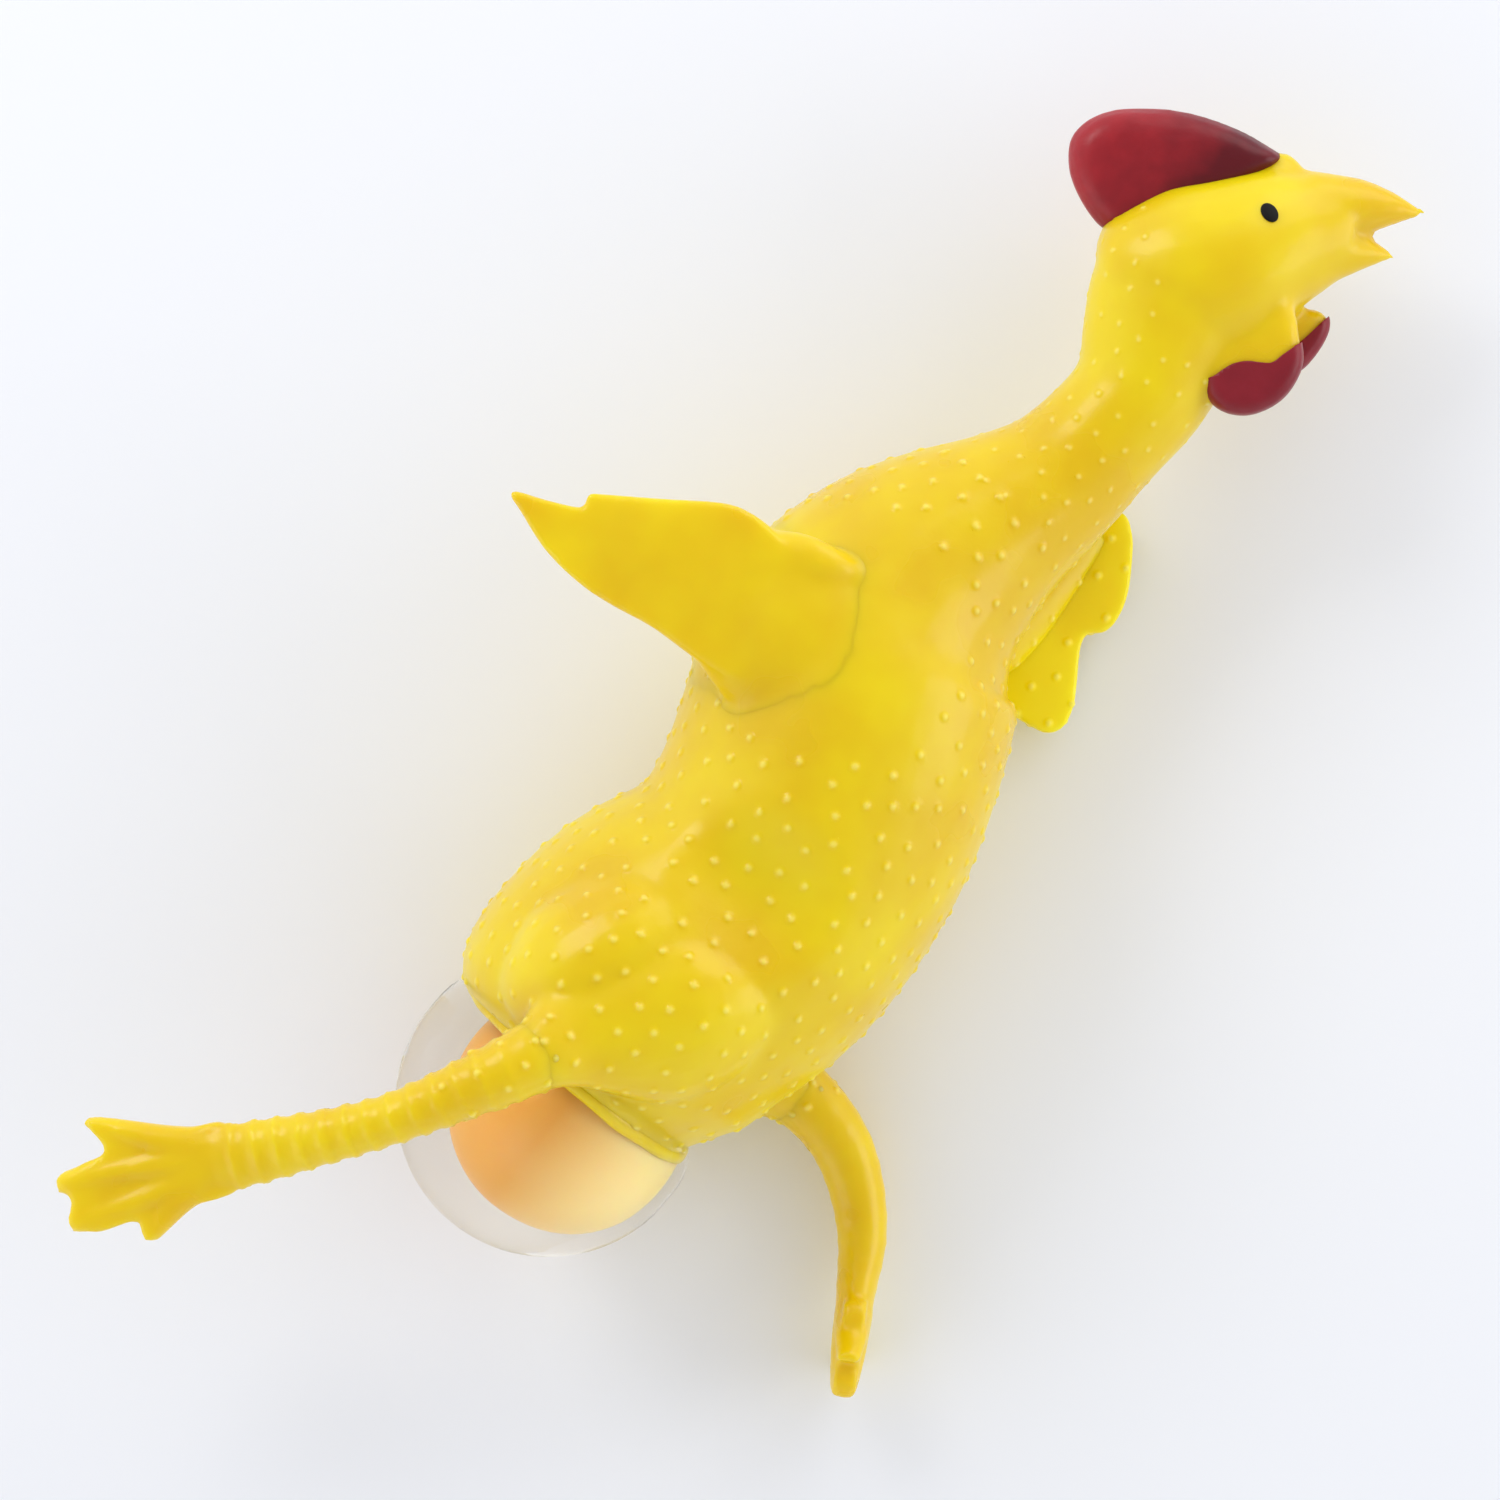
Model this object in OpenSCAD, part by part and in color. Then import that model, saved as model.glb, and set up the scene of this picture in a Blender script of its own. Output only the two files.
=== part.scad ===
// Squeezable rubber chicken that lays an egg.
// A soft moulded skin is filled with water. Squeezing its sides drives a clear bag with a yolk out
// of the vent. It lies on its left side: +X runs along the spine to the head, +Y to the back and
// +Z up from the surface. All sizes are in millimetres.

/* [Body] */
// Height of the spine above the surface
spine_height = 17; // [16.5:0.1:17.5]
// Thickness of the moulded skin
skin = 2.6; // [2:0.1:3]
// Depth that the fingers press into each side
squeeze_depth = 3.5; // [2.5:0.1:4]
// Half the length of the pressed patch along the spine
patch_half_x = 8; // [6:0.5:9]
// Half the length of the pressed patch across the spine
patch_half_y = 10; // [9:0.5:11]

/* [Egg] */
// Radius of the filled egg bag
egg_r = 16.2; // [16:0.1:16.4]
// Wall of the clear bag
bag_wall = 0.4; // [0.3:0.05:0.5]
// Radius of the yolk ball
yolk_r = 11; // [10:0.1:11.1]
// Inner radius of the clear collar in the vent
collar_r = 12.9; // [12.9:0.05:13]

/* [Limbs] */
// Radius of the shank at the hip
hip_r = 3.3; // [3:0.1:3.4]
// Thickness of a foot
foot_thick = 3.4; // [3:0.1:4]
// Thickness of a wing
wing_thick = 2.6; // [2.2:0.1:2.8]

/* [Head] */
// Thickness of the comb
comb_thick = 5; // [4:0.5:6]
// Radius of a painted eye
eye_r = 1.1; // [0.9:0.1:1.3]
// Direction of the beak, from the spine's direction
beak_turn = -50; // [-54:1:-46]

/* [Fits] */
// Gap between parts that move against each other
gap = 0.3; // [0.25:0.05:0.4]

/* [Hidden] */
$fn = 48;

rubber = "gold";
paint_red = "firebrick";
clear = [0.9, 0.95, 0.95, 0.4];

// Edge of the blocks that cut a shape away, larger than the toy
far = 200;

// Places of the joints
neck_pivot = [44, 1.2, spine_height];
hip_right = [-41, 4.6, 36.4];
hip_left = [-28, -18, 5.2];
wing_hinge_right = [8, 21, 31];
wing_hinge_left = [29.5, -7.2, 3.4];
head_place = [66.5, 5.1, spine_height];

// The vent and the egg share one axis along the spine
vent_x = -39.6;
vent_y = 0.5;
egg_past_vent = 5.9;
lip_length = 1.2;
lip_wall = 1.3;
lip_chamfer = 0.5;
collar_length = 4;
collar_wall = 0.6;
face_gap = 0.05;
bore_depth = 7;
// The yolk lies towards the belly and the vent, and is flattened inside the body
yolk_towards_body = 2;
yolk_towards_belly = 1.7;
yolk_past_vent = 5.5;

// The hollow of the skin ends here, where the neck gets solid
hollow_end = 32;
// Middle of the two pressed patches
patch_place = [-14, -1.8];

// Knuckles: radius, half height and chamfer of the barrel on each joint axis
neck_knuckle = [7.2, 6.8, 2.8];
hip_knuckle = [hip_r + 0.6, hip_r - 0.1, 1.2];
wing_knuckle_r = 1.9;
wing_knuckle_half = 6.5;

// A station is [x, y, z, half width across, half height]
torso_stations = [
    [-39.2, 0.5, 16.2, 14.4, 14.4],
    [-36.5, 0.9, 16.6, 16.0, 16.0],
    [-32, 1.0, spine_height, 17.6, 17.6],
    [-26, 0, spine_height, 18.4, 18.2],
    [-19, -2.2, spine_height, 18.0, 18.2],
    [-12, -2.8, spine_height, 17.4, 17.9],
    [-4, -1.4, spine_height, 17.4, 17.8],
    [4, 1.6, spine_height, 17.4, 17.8],
    [11, 4.8, spine_height, 17.2, 17.4],
    [16, 6.4, spine_height, 16.0, 15.8],
    [22, 6.3, spine_height, 13.8, 13.4],
    [28, 5.0, spine_height, 11.5, 11.2],
    [34, 3.2, spine_height, 8.9, 9.0],
    [40, 1.6, spine_height, 7.5, 7.6],
    [46, 1.1, spine_height, 6.9, 7.0]
];
neck_stations = [
    [41.5, 1.5, spine_height, 7.1, 7.2],
    [46, 1.0, spine_height, 6.9, 7.0],
    [52, 1.0, spine_height, 7.3, 7.2],
    [57, 2.6, spine_height, 8.4, 7.6],
    [62, 4.4, spine_height, 9.3, 8.0]
];
// The head's stations stand along the beak: x forward, y up to the crown
head_stations = [
    [-10.3, -0.6, 0, 2.4, 2.6],
    [-9.2, -1.0, 0, 5.4, 5.0],
    [-6.8, -1.6, 0, 8.0, 7.0],
    [-3.2, -1.6, 0, 9.6, 8.2],
    [0.6, -1.3, 0, 10.0, 8.6],
    [4.6, -0.6, 0, 10.0, 8.2],
    [8.0, 0.4, 0, 9.5, 7.2],
    [10.8, 1.6, 0, 7.8, 5.8],
    [13.2, 2.8, 0, 6.2, 4.6],
    [15.2, 3.4, 0, 5.2, 3.8]
];
beak_upper_stations = [
    [15.2, 5.9, 0, 2.6, 3.3],
    [17.8, 5.5, 0, 2.4, 2.5],
    [20.6, 5.4, 0, 1.3, 1.5],
    [23.5, 5.2, 0, 0.25, 0.3]
];
beak_lower_stations = [
    [15.2, 0.8, 0, 2.4, 3.0],
    [17.8, 0.9, 0, 1.5, 2.1],
    [20.2, 0.3, 0, 0.25, 0.3]
];
comb_outline = [
    [-9.5, 3.7], [-11.2, 4.8], [-12.8, 7.4], [-13.4, 10.5], [-12.7, 13.9], [-10.6, 15.6],
    [-7.6, 16.3], [-4, 16.2], [0, 15.2], [3.4, 14.0], [6.6, 12.4], [8.9, 11.2], [8.6, 10],
    [5, 7], [-4, 4]
];
wattle_right_stations = [
    [0.4, -12.6, 3.6, 0.5, 0.5],
    [1.4, -12.8, 3.6, 2.0, 1.3],
    [4, -13, 3.6, 3.1, 1.7],
    [7, -12.2, 3.4, 3.3, 1.7],
    [9.4, -10.8, 3.2, 2.2, 1.3],
    [10.6, -9.8, 3, 0.7, 0.6]
];
wattle_left_stations = [
    [9.4, -10.4, -3.2, 0.6, 0.6],
    [10.6, -9.6, -3.2, 1.8, 1.2],
    [12.4, -8.0, -3.2, 2.1, 1.5],
    [13.9, -6.4, -3.0, 0.8, 0.6]
];
eye_place = [7, 4.7];

thigh_right_stations = [
    [-20.2, -10.0, 29, 2.4, 3.0],
    [-23.4, -7.0, 29.6, 6.6, 6.0],
    [-28.2, -1.6, 29.8, 9.2, 8.4],
    [-33.4, 1.6, 30.6, 8.6, 7.8],
    [-38.0, 3.6, 33.8, 5.4, 5.0],
    [-41.0, 4.6, 36.4, 3.6, 3.2]
];
shank_right_stations = [
    [-41, 4.6, 36.4, 3.3, 3.3],
    [-46, 6.8, 36.6, 3.0, 3.1],
    [-52, 9.8, 36.2, 2.7, 2.8],
    [-57, 12.6, 35.4, 2.6, 2.7],
    [-62.4, 16.4, 34.0, 2.8, 2.6],
    [-67.2, 20.0, 32.6, 3.2, 2.2],
    [-70.4, 22.6, 31.8, 3.6, 1.8]
];
thigh_left_stations = [
    [-29, -2.0, 5.4, 3.6, 3.4],
    [-29.4, -6.6, 5.4, 6.2, 4.8],
    [-29.0, -12, 5.4, 6.2, 5.0],
    [-28.2, -16, 5.3, 4.6, 4.8],
    [-27.9, -18.6, 5.2, 3.7, 4.0]
];
shank_left_stations = [
    [-28, -18, 5.2, 3.5, 3.4],
    [-28.2, -23, 4.6, 3.3, 3.4],
    [-30, -27.8, 4.2, 3.1, 3.2],
    [-32.8, -31.8, 4.2, 2.9, 3.0],
    [-36, -34.9, 4.6, 2.6, 3.0],
    [-39.6, -37.2, 5.4, 2.1, 3.4],
    [-41.4, -38.4, 5.8, 1.8, 3.6]
];
// The foot lies flat with its ankle at the origin and its toes towards +X
foot_outline = [
    [0, -3.6], [3.4, -4.1], [8.5, -5.3], [14.4, -6.9], [14.7, -6.2], [13.4, -3.2], [16.7, -2.5],
    [19.1, -1.0], [18.3, 0.9], [19.0, 2.5], [18.1, 3.9], [16.0, 4.8], [11.8, 4.4],
    [11.6, 6.4], [10.4, 7.0], [9.0, 6.4], [5.8, 4.4], [0, 3.6]
];
ankle_right = [-70.4, 22.6, 31.4];
ankle_right_turn = 143;
ankle_left = [-41.4, -38.4, 7.0];
ankle_left_turn = 212;
foot_left_length = 0.52;

wing_right_outline = [
    [-1.0, 21], [-1.2, 33.3], [-0.2, 39.4], [1.4, 44], [4.4, 38.6], [6.4, 37.3],
    [10.2, 31.8], [14.2, 25.7], [15.0, 22.6], [14.8, 21]
];
wing_root_right_outline = [
    [-1.0, 20.6], [14.8, 20.6], [14.6, 18], [17.4, 12.4], [17.8, 6], [12, 1], [2, 1], [-1.4, 6]
];
wing_left_outline = [
    [41.6, -7.2], [39, -9.4], [36.8, -11], [34.4, -12], [31.4, -12.6], [29.2, -11.3],
    [26.4, -12.8], [22.6, -15.2], [20.4, -15.6], [18.8, -14.8], [18.2, -12.2], [17.8, -7.2]
];
wing_root_left_outline = [
    [41.6, -6.8], [14.5, -6.8], [12.5, -4], [16, 3], [32, 3], [38, -2]
];

function unit(v) = v / norm(v);

// Point at t on the smooth curve from b to c, through a, b, c and d
function between(a, b, c, d, t) =
    0.5 * (2 * b + (c - a) * t + (2 * a - 5 * b + 4 * c - d) * t * t
        + (3 * b - a - 3 * c + d) * t * t * t);

// Stations with steps places in each span, on a smooth curve
function smooth(s, steps) = let (n = len(s) - 1) concat(
    [for (i = [0:n - 1], k = [0:steps - 1])
        between(s[max(i - 1, 0)], s[i], s[i + 1], s[min(i + 2, n)], k / steps)],
    [s[n]]);

function centre(s) = [s[0], s[1], s[2]];

// Direction of the line of stations at number i
function heading(s, i) =
    unit(centre(s[min(i + 1, len(s) - 1)]) - centre(s[max(i - 1, 0)]));

// The ring of points round a station, less a wall of the given thickness
function ring(s, i, sides, wall) = let (
        t = heading(s, i),
        across = unit(cross([0, 0, 1], t)),
        up = cross(t, across))
    [for (k = [0:sides - 1]) let (a = 360 * k / sides)
        centre(s[i]) + across * (s[i][3] - wall) * cos(a) + up * (s[i][4] - wall) * sin(a)];

// Closed solid through rings of points round a line of stations
module loft(stations, steps = 2, sides = 20, wall = 0) {
    s = smooth(stations, steps);
    last = len(s) - 1;
    points = [for (i = [0:last]) each ring(s, i, sides, wall)];
    walls = [for (i = [0:last - 1], k = [0:sides - 1]) let (
            a = i * sides + k,
            b = i * sides + (k + 1) % sides)
        each [[a, a + sides, b + sides], [a, b + sides, b]]];
    ends = [[for (k = [0:sides - 1]) k], [for (k = [sides - 1:-1:0]) last * sides + k]];
    polyhedron(points, concat(walls, ends), convexity = 8);
}

// Barrel about Z with chamfered edges; size is [radius, half height, chamfer]
module barrel(size, clearance = 0) {
    r = size[0] + clearance;
    h = size[1] + clearance;
    c = size[2];
    rotate_extrude()
        polygon([[0, -h], [r - c, -h], [r, c - h], [r, h - c], [r - c, h], [0, h]]);
}

// Everything on the side of a joint that its moving part sweeps, from start along the turned X axis
module swept_side(place, turn, start) {
    translate([place[0], place[1], 0]) rotate([0, 0, turn])
        translate([start, -far / 2, -far / 2]) cube(far);
}

module above_surface() {
    intersection() {
        children();
        translate([-far / 2, -far / 2, 0]) cube(far);
    }
}

// Runs its child's Z axis out of the vent, with its origin in the vent's plane
module on_vent_axis() {
    translate([vent_x, vent_y, egg_r]) rotate([0, -90, 0]) children();
}

module body_outside() {
    loft(torso_stations, steps = 2, sides = 28);
}

// The skin as a closed wall, with the vent open and the neck cut back for its joint
module body_wall() {
    difference() {
        above_surface() body_outside();
        difference() {
            loft(torso_stations, steps = 2, sides = 28, wall = skin);
            translate([hollow_end, -far / 2, -far / 2]) cube(far);
        }
        on_vent_axis() translate([0, 0, -bore_depth])
            cylinder(r = collar_r + collar_wall, h = 2 * bore_depth);
        on_vent_axis() translate([0, 0, -lip_length]) cylinder(r = 2 * egg_r, h = 2 * bore_depth);
        translate(neck_pivot) barrel(neck_knuckle, gap);
        swept_side(neck_pivot, 0, -2.8);
    }
}

module patch_prism(clearance) {
    r = patch_half_x + clearance;
    run = patch_half_y - patch_half_x;
    translate(patch_place) linear_extrude(far / 2) union() {
        for (side = [-1, 1]) translate([0, side * run]) circle(r);
        square([2 * r, 2 * run], center = true);
    }
}

module right_side() {
    translate([0, 0, spine_height]) children();
}

module left_side() {
    translate([0, 0, spine_height]) mirror([0, 0, 1]) children();
}

module torso_shell() {
    color(rubber) difference() {
        body_wall();
        right_side() patch_prism(gap);
        left_side() patch_prism(gap);
        translate(hip_left) barrel(hip_knuckle, gap);
    }
}

module grip_wall_right() {
    color(rubber) translate([0, 0, -squeeze_depth]) intersection() {
        body_wall();
        right_side() patch_prism(0);
    }
}

module grip_wall_left() {
    color(rubber) translate([0, 0, squeeze_depth]) intersection() {
        body_wall();
        left_side() patch_prism(0);
    }
}

module vent_lip() {
    inner = collar_r + collar_wall;
    outer = inner + lip_wall;
    color(rubber) on_vent_axis() rotate_extrude()
        polygon([[inner, -lip_length], [outer, -lip_length], [outer, -lip_chamfer],
            [outer - lip_chamfer, -face_gap], [inner, -face_gap]]);
}

module membrane_collar() {
    color(clear) on_vent_axis() translate([0, 0, -collar_length]) difference() {
        cylinder(r = collar_r + collar_wall, h = collar_length - face_gap);
        translate([0, 0, -collar_length]) cylinder(r = collar_r, h = 3 * collar_length);
    }
}

// Half section of the bag from the vent to its tip, inset by a wall
function bag_section(inset) = concat(
    [[collar_r + 0.5 - inset, 0], [egg_r - 1.4 - inset, 0.8]],
    [for (a = [-14:8:82]) [(egg_r - inset) * cos(a), egg_past_vent + (egg_r - inset) * sin(a)]],
    [[0, egg_past_vent + egg_r - inset], [0, 0]]);

module egg_membrane() {
    color(clear) on_vent_axis() rotate_extrude() difference() {
        polygon(bag_section(0));
        polygon(bag_section(bag_wall));
    }
}

module yolk_ball() {
    on_vent_axis() translate([0, -yolk_towards_belly, egg_past_vent - yolk_towards_body])
        sphere(yolk_r);
}

module egg_white() {
    color(clear) difference() {
        on_vent_axis() rotate_extrude() polygon(bag_section(bag_wall));
        yolk_ball();
    }
}

module yolk() {
    color("orange") intersection() {
        yolk_ball();
        on_vent_axis() translate([0, 0, -yolk_past_vent]) cylinder(r = egg_r, h = 3 * egg_r);
    }
}

// A thigh is the swelling on the body that the shank leaves from. It stays clear of the egg.
module thigh(stations, place, turn) {
    color(rubber) difference() {
        above_surface() loft(stations, steps = 2, sides = 16);
        body_outside();
        on_vent_axis() cylinder(r = egg_r + gap, h = 3 * egg_r);
        translate(place) barrel(hip_knuckle, gap);
        swept_side(place, turn, -1.3);
    }
}

module thigh_right() {
    thigh(thigh_right_stations, hip_right, 155);
}

module thigh_left() {
    thigh(thigh_left_stations, hip_left, 265);
}

module shank(stations, place) {
    color(rubber) union() {
        loft(stations, steps = 2, sides = 12);
        translate(place) barrel(hip_knuckle);
    }
}

module shank_right() {
    shank(shank_right_stations, hip_right);
}

module shank_left() {
    above_surface() shank(shank_left_stations, hip_left);
}

// A webbed foot with three front toes and a spur, as one flat plate
module foot_plate(length = 1) {
    linear_extrude(foot_thick, center = true)
        polygon([for (p = foot_outline) [p[0] * length, p[1]]]);
}

module foot_right() {
    color(rubber) difference() {
        translate(ankle_right) rotate([0, 0, ankle_right_turn]) rotate([0, 3, 0]) foot_plate();
        shank_right();
    }
}

// The left foot is turned on its edge
module foot_left() {
    color(rubber) difference() {
        translate(ankle_left) rotate([0, 0, ankle_left_turn]) rotate([90, 0, 0])
            foot_plate(foot_left_length);
        shank_left();
    }
}

module wing_knuckle(place, r) {
    translate(place) rotate([0, 90, 0])
        cylinder(r = r, h = 2 * wing_knuckle_half, center = true);
}

module blade(outline, place) {
    translate([0, 0, place[2]]) linear_extrude(wing_thick, center = true) polygon(outline);
}

module wing(outline, place) {
    color(rubber) union() {
        blade(outline, place);
        wing_knuckle(place, wing_knuckle_r);
    }
}

// Root of a wing on the body, with the groove that its blade turns in
module wing_root(outline, place) {
    color(rubber) difference() {
        blade(outline, place);
        body_outside();
        translate(place) rotate([0, 90, 0])
            cylinder(r = wing_knuckle_r + gap, h = far, center = true);
    }
}

module wing_right() {
    wing(wing_right_outline, wing_hinge_right);
}

module wing_left() {
    wing(wing_left_outline, wing_hinge_left);
}

module wing_root_right() {
    wing_root(wing_root_right_outline, wing_hinge_right);
}

module wing_root_left() {
    wing_root(wing_root_left_outline, wing_hinge_left);
}

module on_head() {
    translate(head_place) rotate([0, 0, beak_turn]) children();
}

module neck_solid() {
    loft(neck_stations, steps = 2, sides = 20);
}

module head_solid() {
    on_head() loft(head_stations, steps = 2, sides = 20);
}

module neck() {
    color(rubber) difference() {
        union() {
            neck_solid();
            translate(neck_pivot) barrel(neck_knuckle);
        }
        head_solid();
        difference() {
            translate(neck_pivot - [far, far / 2, far / 2]) cube(far);
            translate(neck_pivot) barrel(neck_knuckle);
        }
    }
}

module head() {
    color(rubber) head_solid();
}

module comb() {
    color(paint_red) difference() {
        on_head() linear_extrude(comb_thick, center = true) polygon(comb_outline);
        head_solid();
        neck_solid();
    }
}

module beak(stations) {
    color(rubber) difference() {
        on_head() loft(stations, steps = 2, sides = 12);
        head_solid();
    }
}

module beak_upper() {
    beak(beak_upper_stations);
}

module beak_lower() {
    beak(beak_lower_stations);
}

module wattle(stations) {
    color(paint_red) difference() {
        on_head() loft(stations, steps = 2, sides = 12);
        head_solid();
        neck_solid();
    }
}

module wattle_right() {
    wattle(wattle_right_stations);
}

module wattle_left() {
    wattle(wattle_left_stations);
}

// A painted eye stands a little proud of the head
module eye(side) {
    color("black") difference() {
        on_head() translate([eye_place[0], eye_place[1], side * 6])
            cylinder(r = eye_r, h = 1.6, center = true);
        head_solid();
    }
}

module eye_right() {
    eye(1);
}

module eye_left() {
    eye(-1);
}

torso_shell();
vent_lip();
membrane_collar();
thigh_right();
thigh_left();
wing_root_right();
wing_root_left();
grip_wall_right();
grip_wall_left();
neck();
head();
comb();
beak_upper();
beak_lower();
wattle_right();
wattle_left();
eye_right();
eye_left();
wing_right();
wing_left();
shank_right();
foot_right();
shank_left();
foot_left();
egg_membrane();
egg_white();
yolk();
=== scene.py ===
"""Looks of a squeezable rubber chicken that lays an egg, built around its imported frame.

The toy is one soft moulding with a clear egg bag in its vent. Pieces are modelled in millimetres, with
+X along the spine to the head, +Y to the back and +Z up, and are scaled to metres when they are finished.
"""

import logging
import math
import random
from contextlib import contextmanager
from dataclasses import dataclass
from enum import Enum
from typing import Callable, Iterator, Optional, Sequence, Union

import bpy
import numpy as np
from mathutils import Matrix, Vector
from mathutils.kdtree import KDTree


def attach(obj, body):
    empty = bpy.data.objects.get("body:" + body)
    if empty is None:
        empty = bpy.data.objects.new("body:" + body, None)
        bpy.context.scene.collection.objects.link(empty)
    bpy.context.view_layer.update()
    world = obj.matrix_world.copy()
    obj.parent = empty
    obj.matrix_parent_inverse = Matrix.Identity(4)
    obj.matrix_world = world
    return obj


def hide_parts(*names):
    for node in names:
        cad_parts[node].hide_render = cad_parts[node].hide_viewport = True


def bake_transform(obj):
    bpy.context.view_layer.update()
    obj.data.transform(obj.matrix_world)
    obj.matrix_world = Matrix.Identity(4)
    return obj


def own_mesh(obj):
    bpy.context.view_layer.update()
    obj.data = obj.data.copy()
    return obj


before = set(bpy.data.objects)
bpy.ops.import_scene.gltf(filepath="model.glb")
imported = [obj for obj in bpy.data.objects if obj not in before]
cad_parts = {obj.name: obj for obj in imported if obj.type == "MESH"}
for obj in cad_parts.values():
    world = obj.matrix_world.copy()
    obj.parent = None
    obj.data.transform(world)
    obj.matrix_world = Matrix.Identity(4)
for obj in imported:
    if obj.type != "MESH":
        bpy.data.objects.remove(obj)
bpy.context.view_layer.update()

log = logging.getLogger("rubber_chicken")

MM = 0.001
SEED = 7

Row = Sequence[float]
Point2 = tuple[float, float]
Socket = bpy.types.NodeSocket
Colour = Union[Socket, tuple[float, float, float, float]]


class Slot(Enum):
    """The record's material slots, listed beside the painted pieces but given to none."""

    SKIN = "yellow_rubber"
    RED = "red_paint"
    BLACK = "black_paint"
    FILM = "clear_bag"
    YOLK = "yolk_orange"


# ---------------------------------------------------------------- tools of the bench

NODULE_HIGHLIGHTS = "nodule_highlights"
NODULE_GAP = 2.7
LIMB_NODULE = (0.66, 0.26)   # radius and height
FINE_VOXEL = 0.42
OUTLINE_STEPS = 4
CUSHION_LAYERS = (0.3, 0.6, 0.8, 0.93, 1.0)


def only(piece: bpy.types.Object) -> None:
    """Selects one piece and nothing else.

    Args:
        piece: The piece that the next operator works on.
    """
    bpy.ops.object.select_all(action="DESELECT")
    piece.select_set(True)
    bpy.context.view_layer.objects.active = piece


@contextmanager
def editing(piece: bpy.types.Object) -> Iterator[None]:
    """Holds a piece in edit mode while its faces are worked.

    Args:
        piece: The piece to edit.
    """
    only(piece)
    bpy.ops.object.mode_set(mode="EDIT")
    yield
    bpy.ops.object.mode_set(mode="OBJECT")


def apply_modifier(piece: bpy.types.Object, kind: str, **settings: object) -> None:
    """Adds a modifier with its settings and applies it.

    Args:
        piece: The piece to change.
        kind: Blender's name of the modifier type.
        settings: The modifier's own values.
    """
    only(piece)
    modifier = piece.modifiers.new(kind.lower(), kind)
    for name, value in settings.items():
        setattr(modifier, name, value)
    bpy.ops.object.modifier_apply(modifier=modifier.name)


def primitive(name: str, add: Callable[..., object], **settings: object) -> bpy.types.Object:
    """Adds one of Blender's primitives with nothing else selected.

    Args:
        name: Name of the piece.
        add: The operator that adds it.
        settings: The operator's own values.

    Returns:
        The piece.
    """
    bpy.ops.object.select_all(action="DESELECT")
    add(**settings)
    piece = bpy.context.object
    piece.name = name
    return piece


def coordinates(piece: bpy.types.Object) -> np.ndarray:
    """Places of a piece's vertices, one row each.

    Args:
        piece: A mesh piece.

    Returns:
        An array of three columns.
    """
    places = np.empty(len(piece.data.vertices) * 3)
    piece.data.vertices.foreach_get("co", places)
    return places.reshape(-1, 3)


def move_vertices(piece: bpy.types.Object, places: np.ndarray) -> None:
    """Puts a piece's vertices at new places.

    Args:
        piece: A mesh piece.
        places: One row of three numbers for each vertex.
    """
    piece.data.vertices.foreach_set("co", places.ravel())
    piece.data.update()


def rest_on_table(piece: bpy.types.Object) -> None:
    """Flattens what would reach below the table."""
    places = coordinates(piece)
    places[:, 2] = np.maximum(places[:, 2], 0)
    move_vertices(piece, places)


def search_tree(spots: Sequence[Sequence[float]]) -> KDTree:
    """A tree that finds the nearest of some spots."""
    tree = KDTree(len(spots))
    for index, spot in enumerate(spots):
        tree.insert(spot, index)
    tree.balance()
    return tree


def smooth_run(rows: Sequence[Row], steps: int) -> list[np.ndarray]:
    """Fills in the spans between rows on a smooth curve through them.

    Args:
        rows: The rows that the curve passes through.
        steps: Places in each span.

    Returns:
        The finer rows, the first and last ones included.
    """
    fixed = [np.array(row, float) for row in rows]
    last = len(fixed) - 1
    run = []
    for i in range(last):
        a, b, c, d = fixed[max(i - 1, 0)], fixed[i], fixed[i + 1], fixed[min(i + 2, last)]
        run += [catmull_rom(a, b, c, d, k / steps) for k in range(steps)]
    return run + [fixed[last]]


def smooth_loop(points: Sequence[Point2], steps: int) -> list[np.ndarray]:
    """Fills in a closed outline on a smooth curve through its points.

    Args:
        points: The outline's points in order.
        steps: Places in each span.

    Returns:
        The finer outline.
    """
    fixed = [np.array(point, float) for point in points]
    count = len(fixed)
    loop = []
    for i in range(count):
        a, b, c, d = (fixed[(i + k) % count] for k in (-1, 0, 1, 2))
        loop += [catmull_rom(a, b, c, d, k / steps) for k in range(steps)]
    return loop


def catmull_rom(a: np.ndarray, b: np.ndarray, c: np.ndarray, d: np.ndarray, t: float) -> np.ndarray:
    """Place at t on the smooth curve from b to c.

    Args:
        a: The row before b.
        b: Start of the span.
        c: End of the span.
        d: The row after c.
        t: Share of the span, from 0 to 1.

    Returns:
        The row at t.
    """
    return 0.5 * (2 * b + (c - a) * t + (2 * a - 5 * b + 4 * c - d) * t**2 + (3 * b - a - 3 * c + d) * t**3)


def turn_selected(angle: float, centre: Sequence[float]) -> None:
    """Turns the selected faces about Z. With no window the operator turns the other way.

    Args:
        angle: Turn in radians, from +X towards +Y.
        centre: Place of the axis.
    """
    bpy.ops.transform.rotate(value=-angle, orient_axis="Z", center_override=centre)


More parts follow.
